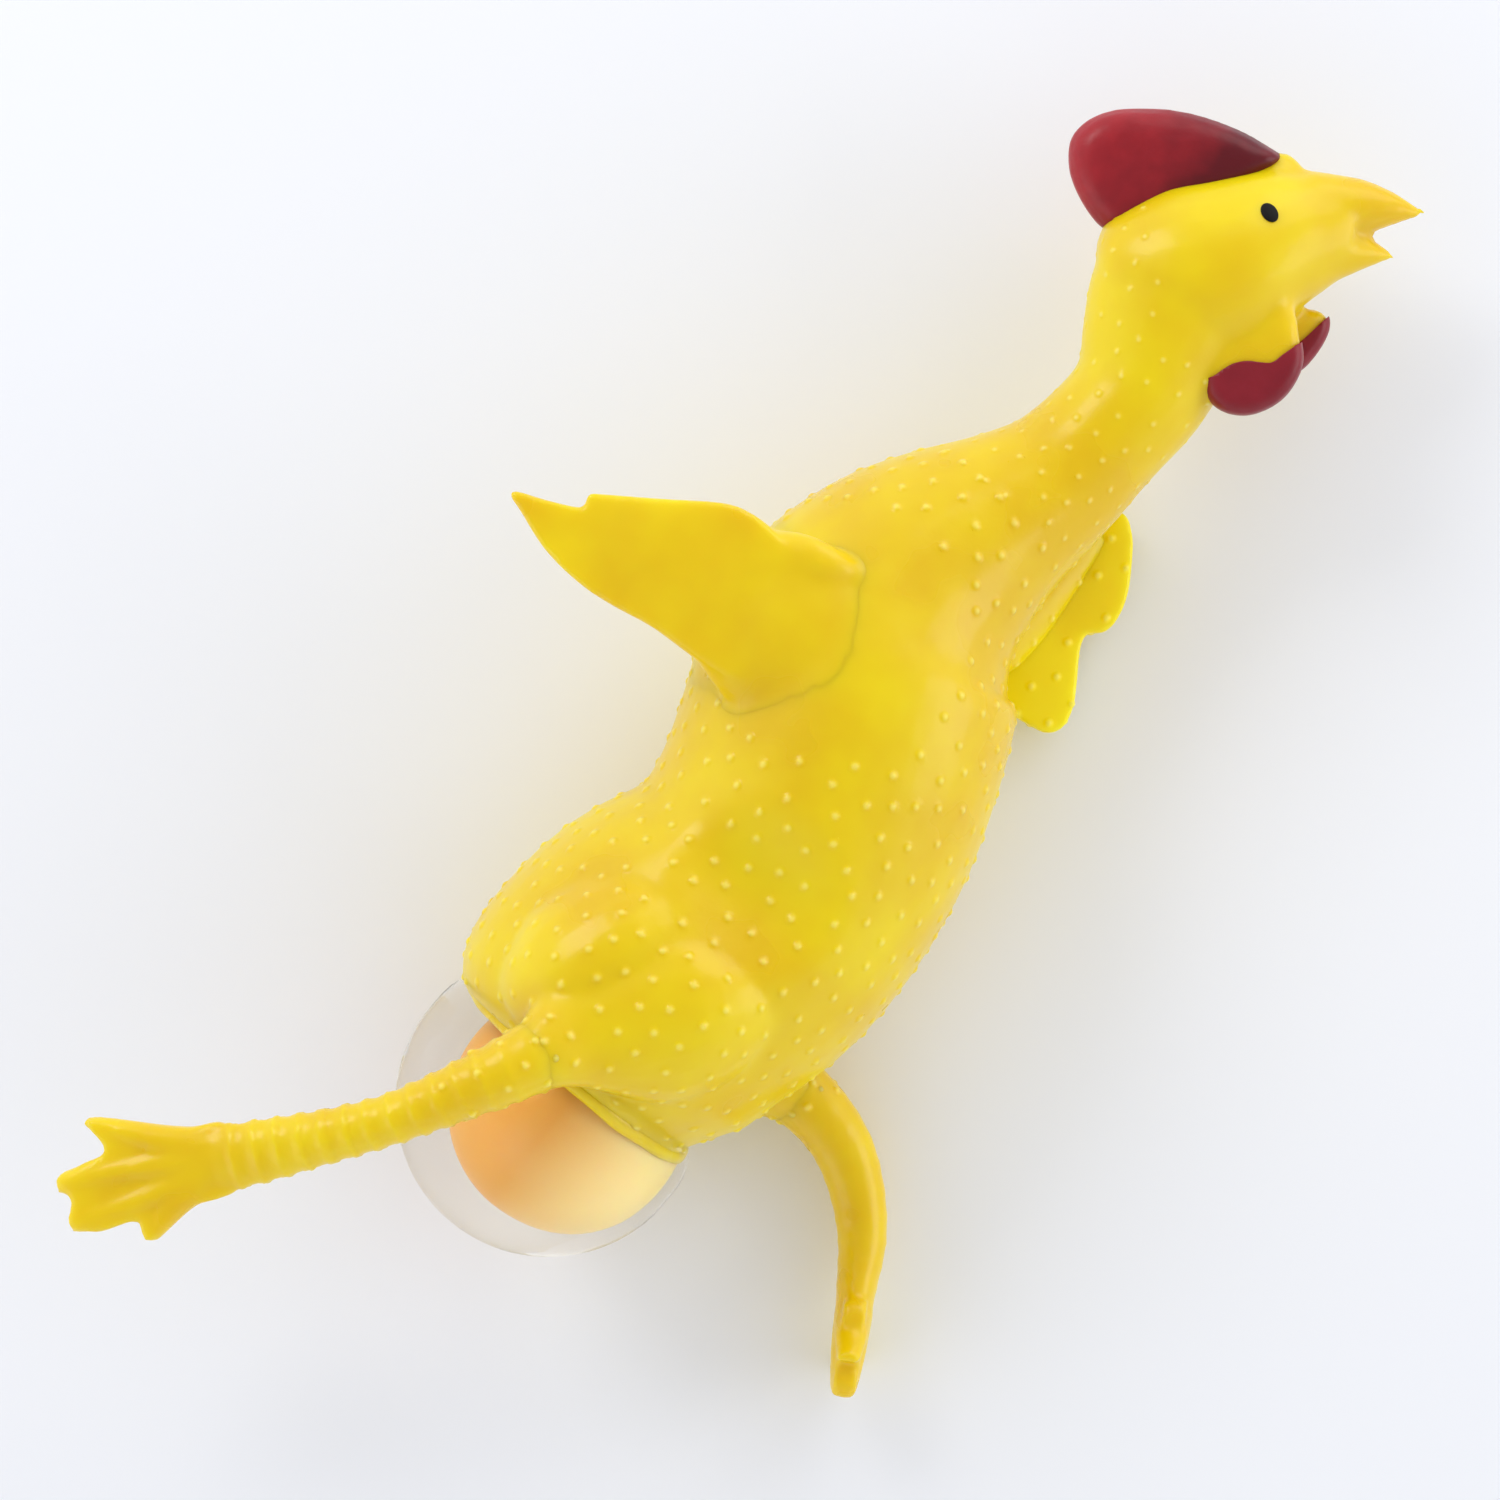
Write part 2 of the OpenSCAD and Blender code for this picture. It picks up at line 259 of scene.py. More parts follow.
def soft_tube(
        name: str, rows: Sequence[Row], steps: int = 3, sides: int = 24, straight: bool = False) -> bpy.types.Object:
    """Extrudes an oval along a line of sections into a closed soft form.

    Args:
        name: Name of the piece.
        rows: Sections as x, y, z, half width across and half height.
        steps: Sections in each span.
        sides: Sides of the oval.
        straight: Whether every section stands square to +X, even where the line folds back.

    Returns:
        The tube, in millimetres.
    """
    run = smooth_run(rows, steps)
    middles = [row[:3] for row in run]
    last = len(run) - 1
    tube = primitive(
        name, bpy.ops.mesh.primitive_circle_add, vertices=sides, radius=1, fill_type="NGON",
        rotation=(0, math.pi / 2, 0))
    bpy.ops.object.transform_apply(location=False, rotation=True, scale=False)
    reached, size, heading = np.zeros(3), np.ones(2), 0.0
    with editing(tube):
        for i, row in enumerate(run):
            along = middles[min(i + 1, last)] - middles[max(i - 1, 0)]
            turned = 0.0 if straight else math.atan2(along[1], along[0])
            shift = tuple(row[:3] - reached)
            if i == 0:
                bpy.ops.transform.translate(value=shift)
            else:
                bpy.ops.mesh.extrude_region_move(TRANSFORM_OT_translate={"value": shift})
            reached, centre = row[:3], tuple(row[:3])
            turn_selected(-heading, centre)
            grow = row[3:5] / size
            bpy.ops.transform.resize(value=(1, grow[0], grow[1]), center_override=centre)
            turn_selected(turned, centre)
            size, heading = row[3:5], turned
        bpy.ops.mesh.select_all(action="SELECT")
        bpy.ops.mesh.normals_make_consistent(inside=False)
    return tube


def slab(name: str, outline: Sequence[Point2], level: float, thickness: float) -> bpy.types.Object:
    """Extrudes a smooth flat outline into a plate.

    Args:
        name: Name of the piece.
        outline: Points of the outline in order.
        level: Height of the plate's middle.
        thickness: Thickness of the plate.

    Returns:
        The plate, in millimetres.
    """
    points = smooth_loop(outline, OUTLINE_STEPS)
    plate = primitive(name, bpy.ops.mesh.primitive_circle_add, vertices=len(points), radius=1, fill_type="NGON")
    for vertex, point in zip(plate.data.vertices, points):
        vertex.co = (point[0], point[1], level - thickness / 2)
    with editing(plate):
        bpy.ops.mesh.extrude_region_move(TRANSFORM_OT_translate={"value": (0, 0, thickness)})
        bpy.ops.mesh.select_all(action="SELECT")
        bpy.ops.mesh.normals_make_consistent(inside=False)
    return plate


def place(piece: bpy.types.Object, spot: Row, turn: float = 0, tilt: float = 0, roll: float = 0) -> bpy.types.Object:
    """Turns a piece about X, Y and Z in degrees, moves it and fixes it there.

    Args:
        piece: The piece to place.
        spot: Where its origin goes.
        turn: Turn about Z.
        tilt: Turn about Y.
        roll: Turn about X.

    Returns:
        The same piece.
    """
    only(piece)
    piece.rotation_euler = (math.radians(roll), math.radians(tilt), math.radians(turn))
    piece.location = spot
    bpy.ops.object.transform_apply(location=True, rotation=True, scale=False)
    return piece


def moulded(name: str, parts: Sequence[bpy.types.Object], voxel: float, smoothing: int) -> bpy.types.Object:
    """Melts several closed forms into one skin, as they come out of one mould.

    Args:
        name: Name of the moulded piece.
        parts: The forms, which overlap.
        voxel: Edge of the mesh's cells.
        smoothing: Passes of smoothing over the joins.

    Returns:
        One closed piece.
    """
    bpy.ops.object.select_all(action="DESELECT")
    for part in parts:
        part.select_set(True)
    bpy.context.view_layer.objects.active = parts[0]
    if len(parts) > 1:
        bpy.ops.object.join()
    piece = bpy.context.view_layer.objects.active
    piece.name = name
    piece.data.name = name
    apply_modifier(piece, "REMESH", mode="VOXEL", voxel_size=voxel, use_smooth_shade=True)
    apply_modifier(piece, "SMOOTH", factor=0.5, iterations=smoothing)
    return piece


def cushion(
        name: str, outline: Sequence[Point2], level: float, thickness: float, rounding: float,
        voxel: float = 0.36) -> bpy.types.Object:
    """A soft plate whose rim is rounded like a cushion's.

    Args:
        name: Name of the piece.
        outline: Points of the outline in order.
        level: Height of its middle.
        thickness: Thickness at its middle.
        rounding: Width of the rounded rim.
        voxel: Edge of the mesh's cells.

    Returns:
        One closed piece.
    """
    middle = np.mean(np.array(outline), axis=0)
    layers = []
    for share in CUSHION_LAYERS:
        inset = rounding * (1 - math.sqrt(1 - share**2))
        away = [np.array(point) - middle for point in outline]
        shrunk = [tuple(middle + arm * (1 - inset / np.linalg.norm(arm))) for arm in away]
        layers.append(slab(name, shrunk, level, thickness * share))
    return moulded(name, layers, voxel, smoothing=10)


def weighted_modifier(piece: bpy.types.Object, weights: np.ndarray, kind: str, **settings: object) -> None:
    """Applies a modifier by a weight at each vertex.

    Args:
        piece: The piece to change.
        weights: One weight from 0 to 1 for each vertex.
        kind: Blender's name of the modifier type.
        settings: The modifier's own values.
    """
    group = piece.vertex_groups.new(name="weights")
    for index in np.flatnonzero(weights > 0.001):
        group.add([int(index)], float(weights[index]), "REPLACE")
    apply_modifier(piece, kind, vertex_group=group.name, **settings)
    piece.vertex_groups.clear()


def emboss(piece: bpy.types.Object, weights: np.ndarray, height: float) -> None:
    """Raises a piece's surface by a height times a weight at each vertex.

    Args:
        piece: The piece to change.
        weights: One weight from 0 to 1 for each vertex.
        height: Height at full weight, negative to press in.
    """
    weighted_modifier(piece, weights, "DISPLACE", strength=height, mid_level=0, direction="NORMAL")


def soften(piece: bpy.types.Object, weights: np.ndarray, rounds: int) -> None:
    """Melts the creases of a part of a piece.

    Args:
        piece: The piece to smooth.
        weights: How much of the smoothing each vertex takes, from 0 to 1.
        rounds: Number of rounds of smoothing.
    """
    weighted_modifier(piece, weights, "SMOOTH", factor=0.5, iterations=rounds)


def hump(distance: np.ndarray) -> np.ndarray:
    """Round weight that is 1 at no distance and fades out at 1.

    Args:
        distance: Distances as shares of the hump's radius.

    Returns:
        The weights.
    """
    return np.clip(1 - distance**2, 0, 1) ** 2


def pull(piece: bpy.types.Object, centre: Row, reach: float, move: Row) -> None:
    """Pulls the surface round a spot, as a thumb does in clay.

    Args:
        piece: The piece to change.
        centre: The spot.
        reach: Distance at which nothing moves.
        move: How far the spot itself moves.
    """
    places = coordinates(piece)
    away = np.linalg.norm(places - np.array(centre), axis=1) / reach
    move_vertices(piece, places + hump(away)[:, None] * np.array(move))


def scatter(piece: bpy.types.Object, spacing: Callable[[Vector, Vector], float], seed: int) -> list[Vector]:
    """Strews spots over a surface, no two nearer than the spacing there.

    Args:
        piece: The piece with the surface.
        spacing: Distance between spots from place and normal, or 0 for a bare stretch.
        seed: Seed of the random draws.

    Returns:
        The spots.
    """
    draws = random.Random(seed)
    faces = piece.data.polygons
    order = list(range(len(faces)))
    draws.shuffle(order)
    taken = np.empty((0, 3))
    for index in order:
        middle = faces[index].center
        near = spacing(middle, faces[index].normal)
        if near <= 0:
            continue
        if len(taken) and np.min(np.sum((taken - np.array(middle)) ** 2, axis=1)) < near**2:
            continue
        taken = np.vstack([taken, np.array(middle)])
    return [Vector(row) for row in taken]


def raise_nodules(piece: bpy.types.Object, spots: Sequence[Vector], radius: float, height: float) -> None:
    """Raises a small round nodule at each spot, with a finer mesh under it, and stores the weights of its painted
    highlight.

    Args:
        piece: The piece to change.
        spots: Middles of the nodules.
        radius: Radius of a nodule.
        height: Height of a nodule.
    """
    tree = search_tree(spots)
    piece.data.polygons.foreach_set("select", [False] * len(piece.data.polygons))
    with editing(piece):
        bpy.ops.mesh.select_mode(type="FACE")
        bpy.ops.mesh.select_all(action="DESELECT")
    for face in piece.data.polygons:
        face.select = tree.find(face.center)[2] < radius * 1.1
    with editing(piece):
        bpy.ops.mesh.subdivide(number_cuts=2)
    places = coordinates(piece)
    weights = hump(np.array([tree.find(spot)[2] for spot in places]) / radius)
    # Weights of the painted highlight: the rubber paints each nodule's tip paler by them.
    highlight_weights = piece.data.attributes.get(NODULE_HIGHLIGHTS) or piece.data.attributes.new(NODULE_HIGHLIGHTS, "FLOAT", "POINT")
    earlier = np.zeros(len(places))
    highlight_weights.data.foreach_get("value", earlier)
    highlight_weights.data.foreach_set("value", np.maximum(earlier, weights))
    emboss(piece, weights, height)


def finish_piece(piece: bpy.types.Object, finish: bpy.types.Material) -> None:
    """Scales a piece from millimetres to metres, smooths its shading and dresses it.

    Args:
        piece: The modelled piece.
        finish: Its material.
    """
    only(piece)
    piece.scale = (MM, MM, MM)
    bpy.ops.object.transform_apply(location=False, rotation=False, scale=True)
    bpy.ops.object.shade_smooth()
    dress(piece, finish)
    log.info("%s: %d faces", piece.name, len(piece.data.polygons))


def dress(piece: bpy.types.Object, finish: bpy.types.Material) -> None:
    """Gives a piece one material.

    Args:
        piece: The piece, or a CAD node's object.
        finish: Its material.
    """
    piece.data.materials.clear()
    piece.data.materials.append(finish)


def discard(piece: bpy.types.Object) -> None:
    """Removes a tool that has done its work."""
    bpy.data.objects.remove(piece, do_unlink=True)


# ---------------------------------------------------------------- finishes


def colour(hex_value: str) -> tuple[float, float, float, float]:
    """Turns an sRGB hex colour to the linear values that a shader takes.

    Args:
        hex_value: Six hex digits after a hash sign.

    Returns:
        Red, green, blue and full alpha.
    """
    channels = [int(hex_value[i:i + 2], 16) / 255 for i in (1, 3, 5)]
    linear = [c / 12.92 if c <= 0.04045 else ((c + 0.055) / 1.055) ** 2.4 for c in channels]
    return (*linear, 1.0)


def add_node(tree: bpy.types.NodeTree, kind: str, links: Optional[dict] = None, **settings: object) -> bpy.types.Node:
    """Adds one node with its settings, socket values and links.

    Args:
        tree: The node tree.
        kind: Blender's name of the node type.
        links: Input socket to a value, or to the output socket that feeds it.
        settings: The node's own properties.

    Returns:
        The node.
    """
    node = tree.nodes.new(kind)
    for name, value in settings.items():
        setattr(node, name, value)
    for socket, source in (links or {}).items():
        if isinstance(source, bpy.types.NodeSocket):
            tree.links.new(source, node.inputs[socket])
        else:
            node.inputs[socket].default_value = source
    return node


def noise(tree: bpy.types.NodeTree, where: Socket, size: float, detail: float, roughness: float = 0.5) -> Socket:
    """Adds a cloudy noise.

    Args:
        tree: The node tree.
        where: Coordinates in metres.
        size: Distance between its features in millimetres.
        detail: Octaves of finer noise.
        roughness: Strength of the finer octaves.

    Returns:
        The noise's value.
    """
    return add_node(tree, "ShaderNodeTexNoise", {
        "Vector": where, "Scale": 1 / (size * MM), "Detail": detail, "Roughness": roughness}).outputs["Fac"]


def ramp(tree: bpy.types.NodeTree, value: Socket, start: float, end: float, low: float = 0.0,
         high: float = 1.0) -> Socket:
    """Adds a ramp from low, where a value is at start, to high, where it is at end.

    Args:
        tree: The node tree.
        value: The value.
        start: Value at which the ramp starts.
        end: Value at which it ends.
        low: Result at the start.
        high: Result at the end.

    Returns:
        The result.
    """
    return add_node(tree, "ShaderNodeMapRange", {
        "Value": value, "From Min": start, "From Max": end, "To Min": low, "To Max": high}).outputs["Result"]


def dyed(tree: bpy.types.NodeTree, share: Socket, first: Colour, second: Colour) -> Socket:
    """Adds a mix of two colours.

    Args:
        tree: The node tree.
        share: Share of the second colour.
        first: The first colour, or the socket that gives it.
        second: The second one.

    Returns:
        The mixed colour.
    """
    return add_node(
        tree, "ShaderNodeMix", {"Factor": share, "A": first, "B": second}, data_type="RGBA").outputs["Result"]


def bumps(tree: bpy.types.NodeTree, height: Socket, strength: float, depth: float,
          under: Optional[Socket] = None) -> Socket:
    """Adds a fine relief.

    Args:
        tree: The node tree.
        height: Height of the relief, from 0 to 1.
        strength: Strength of the relief.
        depth: Its full height in millimetres.
        under: The coarser relief that it lies on.

    Returns:
        The normal.
    """
    links = {"Height": height, "Strength": strength, "Distance": depth * MM}
    if under is not None:
        links["Normal"] = under
    return add_node(tree, "ShaderNodeBump", links).outputs["Normal"]


@dataclass(frozen=True)
class Finish:
    """A material; each kind says what its surface does to light."""

    name: str

    def surface(self, tree: bpy.types.NodeTree, where: Socket) -> Socket:
        """Adds the nodes of the surface.

        Args:
            tree: The node tree.
            where: Coordinates on the piece, in metres.

        Returns:
            The shader.
        """
        raise NotImplementedError

    def build(self) -> bpy.types.Material:
        """Builds the material.

        Returns:
            The material.
        """
        material = bpy.data.materials.new(self.name)
        material.use_nodes = True
        tree = material.node_tree
        tree.nodes.clear()
        where = add_node(tree, "ShaderNodeTexCoord").outputs["Object"]
        add_node(tree, "ShaderNodeOutputMaterial", {"Surface": self.surface(tree, where)})
        return material


@dataclass(frozen=True)
class MouldedRubber(Finish):
    """Thermoplastic rubber moulded in a polished mould, dyed through and a little see-through.

    It shines like damp skin, light soaks some millimetres into it, and thin rims glow paler. Each nodule's
    tip is painted paler, a painted highlight.
    """

    name: str = "moulded_yellow_rubber"
    body_colour: str = "#EAD102"
    deep_colour: str = "#E0BA02"
    # Colour of the painted highlight on the nodules' tips.
    highlight_colour: str = "#F6E888"
    soak_mm: float = 3.0
    cloud_mm: float = 16.0
    grain_mm: float = 0.5
    ripple_mm: float = 5.0

    def surface(self, tree: bpy.types.NodeTree, where: Socket) -> Socket:
        """Adds the nodes of the surface, as Finish says."""
        cloud = noise(tree, where, self.cloud_mm, 3.0)
        dye = dyed(tree, ramp(tree, cloud, 0.36, 0.66), colour(self.deep_colour), colour(self.body_colour))
        # Painted highlight: the nodules' tips are mixed towards a pale colour.
        highlight_weights = add_node(tree, "ShaderNodeAttribute", attribute_name=NODULE_HIGHLIGHTS).outputs["Fac"]
        tint = dyed(tree, ramp(tree, highlight_weights, 0.35, 1.0, high=0.45), dye, colour(self.highlight_colour))
        ripple = bumps(tree, noise(tree, where, self.ripple_mm, 1.0, 0.4), 0.35, 0.5)
        grain = bumps(tree, noise(tree, where, self.grain_mm, 2.0, 0.6), 0.12, 0.1, under=ripple)
        return add_node(tree, "ShaderNodeBsdfPrincipled", {
            "Base Color": tint, "Roughness": ramp(tree, cloud, 0.3, 0.7, 0.24, 0.36), "Normal": grain,
            "IOR": 1.5, "Specular IOR Level": 0.32, "Coat Weight": 0.12, "Coat Roughness": 0.1,
            "Subsurface Weight": 0.5, "Subsurface Radius": (1.0, 0.8, 0.08),
            "Subsurface Scale": self.soak_mm * MM, "Sheen Weight": 0.18, "Sheen Roughness": 0.2,
            "Sheen Tint": colour("#FFF08A")}).outputs["BSDF"]


@dataclass(frozen=True)
class BrushedPaint(Finish):
    """Flexible enamel brushed on the rubber by hand.

    It is thicker in some places than in others, so its colour drifts at random; it is also painted lighter
    towards +Y, the lit side, and darker away from it, as painted shade, and it shines softly.
    """

    colour_shaded_thick: str
    colour_lit_thin: str
    roughness: float = 0.33
    drift_mm: float = 6.0
    stroke_mm: float = 1.2
    soak: float = 0.25
    shine: float = 0.3
    # Band along Y over which the paint goes from its painted-shade colour to its lit colour.
    lit_side_mm: tuple[float, float] = (-30.0, 0.0)

    def surface(self, tree: bpy.types.NodeTree, where: Socket) -> Socket:
        """Adds the nodes of the surface, as Finish says."""
        level = add_node(tree, "ShaderNodeSeparateXYZ", {"Vector": where}).outputs["Y"]
        # Painted light and shade: the colour turns lighter towards +Y, where the key lamp stands, plus a random drift
        # of thickness.
        lit_side = ramp(tree, level, self.lit_side_mm[0] * MM, self.lit_side_mm[1] * MM)
        drift = ramp(tree, noise(tree, where, self.drift_mm, 3.0, 0.55), 0.35, 0.65, -0.2, 0.2)
        lit_side_and_thinness = add_node(tree, "ShaderNodeMath", {0: lit_side, 1: drift}, operation="ADD", use_clamp=True)
        strokes = noise(tree, where, self.stroke_mm, 3.0, 0.6)
        return add_node(tree, "ShaderNodeBsdfPrincipled", {
            "Base Color": dyed(
                tree, lit_side_and_thinness.outputs["Value"], colour(self.colour_shaded_thick), colour(self.colour_lit_thin)),
            "Roughness": self.roughness, "IOR": 1.5, "Specular IOR Level": self.shine,
            "Subsurface Weight": self.soak, "Subsurface Radius": (1.0, 0.25, 0.2),
            "Subsurface Scale": 1.5 * MM, "Normal": bumps(tree, strokes, 0.3, 0.15)}).outputs["BSDF"]


@dataclass(frozen=True)
class ClearFilm(Finish):
    """Blown clear elastomer, bare or filled with a fluid. Its rim draws a grey line."""

    ior: float
    tint: str = "#FBFCFA"
    roughness: float = 0.02

    def surface(self, tree: bpy.types.NodeTree, where: Socket) -> Socket:
        """Adds the nodes of the surface, as Finish says."""
        wobble = noise(tree, where, 9.0, 1.0, 0.4)
        shader = add_node(tree, "ShaderNodeBsdfPrincipled", {
            "Base Color": colour(self.tint), "Roughness": self.roughness, "IOR": self.ior,
            "Transmission Weight": 1.0, "Normal": bumps(tree, wobble, 0.25, 0.5)})
        through = add_node(tree, "ShaderNodeBsdfTransparent", {"Color": colour(self.tint)})
        ray = add_node(tree, "ShaderNodeLightPath").outputs["Is Shadow Ray"]
        return add_node(tree, "ShaderNodeMixShader", {
            0: ray, 1: shader.outputs["BSDF"], 2: through.outputs["BSDF"]}).outputs["Shader"]


@dataclass(frozen=True)
class YolkGel(Finish):
    """Coloured gel ball: opaque apricot with a cloudy tone, painted paler towards -Y, where light falls, and deeper
    orange towards the body, where shade falls, with a wet shine.
    """

    name: str = "yolk_gel"
    deep_tone_and_shade: str = "#D9952A"
    pale_tone_and_light: str = "#F4DC94"

    def surface(self, tree: bpy.types.NodeTree, where: Socket) -> Socket:
        """Adds the nodes of the surface, as Finish says."""
        side = add_node(tree, "ShaderNodeSeparateXYZ", {"Vector": where}).outputs["Y"]
        # Painted light and shade: paler towards -Y, deeper orange towards +Y under the body, mixed with a random
        # cloudy tone.
        drift = add_node(
            tree, "ShaderNodeMath",
            {0: noise(tree, where, 12.0, 2.0), 1: 0.25, 2: ramp(tree, side, -1 * MM, -11.5 * MM, high=0.9)},
            operation="MULTIPLY_ADD", use_clamp=True)
        return add_node(tree, "ShaderNodeBsdfPrincipled", {
            "Base Color": dyed(tree, drift.outputs["Value"], colour(self.deep_tone_and_shade), colour(self.pale_tone_and_light)),
            "Roughness": 0.4, "Subsurface Weight": 0.6, "Subsurface Radius": (1.0, 0.6, 0.2),
            "Subsurface Scale": 4 * MM,
            "Normal": bumps(tree, noise(tree, where, 1.0, 2.0), 0.1, 0.1)}).outputs["BSDF"]


@dataclass(frozen=True)
class MattFloor(Finish):
    """Pale matt board."""

    tint: str = "#F1F3F9"

    def surface(self, tree: bpy.types.NodeTree, where: Socket) -> Socket:
        """Adds the nodes of the surface, as Finish says."""
        return add_node(tree, "ShaderNodeBsdfPrincipled", {
            "Base Color": colour(self.tint), "Roughness": 0.7}).outputs["BSDF"]


@dataclass(frozen=True)
class Finishes:
    """All the toy's materials, built once."""

    rubber: bpy.types.Material
    shade_lightened_rubber: bpy.types.Material
    red: bpy.types.Material
    comb_red: bpy.types.Material
    black: bpy.types.Material
    bag: bpy.types.Material
    film: bpy.types.Material
    yolk: bpy.types.Material


def mix_finishes() -> Finishes:
    """Builds every material.

    Returns:
        The finishes of the toy.
    """
    return Finishes(
        rubber=MouldedRubber().build(),
        # A lighter copy of the rubber for the far wing near the floor: painted light that makes up for the shade
        # there.
        shade_lightened_rubber=MouldedRubber("shade_lightened_yellow_rubber", "#FBE608", "#F4D604").build(),
        # The wattles' red and the eyes' black are painted lighter towards +Y, the lit side, and darker away from it:
        # painted shade.
        red=BrushedPaint("brushed_red_enamel", "#6C121E", "#8C1E2B").build(),
        # The comb's red goes from dark maroon painted shade to a lit red across its upper part.
        comb_red=BrushedPaint("comb_red_enamel_painted_shade", "#5E0F1A", "#A3202A", lit_side_mm=(9.0, 21.0)).build(),
        black=BrushedPaint("brushed_black_enamel", "#0B0A0A", "#161313", roughness=0.5, soak=0.0, shine=0.12).build(),
        bag=ClearFilm("filled_clear_bag", 1.14).build(),
        film=ClearFilm("clear_elastomer", 1.45).build(),
        yolk=YolkGel().build(),
    )


# ---------------------------------------------------------------- shared places

SPINE_HEIGHT = 17.0
HEAD_PLACE = (66.5, 5.1, SPINE_HEIGHT)
HEAD_TURN = -50.0
VENT_AXIS_Y = 0.5
VENT_AXIS_Z = 16.2
VENT_END = -41.2
NECK_START = 34.0
TABLE_GAP = 0.6
PATCH_MIDDLE = (-14.0, -1.8)
PATCH_REACH = 10.5
PATCH_DEPTH = 3.5


def on_head(piece: bpy.types.Object) -> bpy.types.Object:
    """Puts a piece that was modelled along the beak at its place on the neck."""
    return place(piece, HEAD_PLACE, turn=HEAD_TURN)


@dataclass(frozen=True)
class Flap:
    """A wattle: a flap of the cheek whose end is dipped in red paint, in the head's own frame."""

    outline: tuple[Point2, ...]
    paint: tuple[Point2, ...]
    level: float
    thickness: float
    paint_depth: float = 0.2

    def form(self, name: str, proud: float) -> bpy.types.Object:
        """The flap as a soft rounded plate.

        Args:
            name: Name of the plate.
            proud: How far its surface stands outside the bare flap's.

        Returns:
            The plate.
        """
        middle = np.mean(np.array(self.outline), axis=0)
        away = [np.array(point) - middle for point in self.outline]
        grown = [tuple(middle + arm * (1 + proud / np.linalg.norm(arm))) for arm in away]
        return cushion(name, grown, self.level, self.thickness + 2 * proud, 1.3)

    def painted(self, name: str) -> bpy.types.Object:
        """The coat of paint on the flap's end, with its wavy border.

        Args:
            name: Name of the coat.

        Returns:
            The coat.
        """
        coat = self.form(name, self.paint_depth)
        mask = slab("paint_mask", self.paint, self.level, 30)
        apply_modifier(coat, "BOOLEAN", operation="INTERSECT", object=mask, solver="EXACT")
        discard(mask)
        return on_head(coat)


NEAR_FLAP = Flap(
    outline=(
        (-3, -5), (-1, -10), (0.3, -12.4), (0.7, -14.4), (2.4, -15.9), (5.1, -16.3), (8.1, -15.0),
        (9.9, -12.9), (10.7, -10.6), (10.4, -7.8), (9.7, -5), (6, -2)),
    paint=(
        (-1.4, -12.4), (0.8, -12.5), (2.3, -11.6), (3.4, -11.0), (4.8, -10.75), (6.2, -10.9), (7.4, -10.9),
        (8.5, -10.1), (9.5, -9.4), (10.3, -8.9), (12.5, -8.4), (13, -14), (7, -19), (-1, -17)),
    level=3.9,
    thickness=3.4)

FAR_FLAP = Flap(
    outline=(
        (7, -4.2), (11.6, -4.7), (13.2, -4.8), (14.1, -5.9), (13.8, -7.6), (12.6, -9.6), (11.0, -11.3),
        (9.4, -11.7), (7, -10)),
    paint=(
        (15, -5.2), (13.6, -5.9), (12.5, -6.9), (11.3, -8.0), (9.6, -9.2), (6, -10.6), (8, -14),
        (13, -12), (16, -8)),
    level=-3.4,
    thickness=3.0)


# ---------------------------------------------------------------- the moulded skin


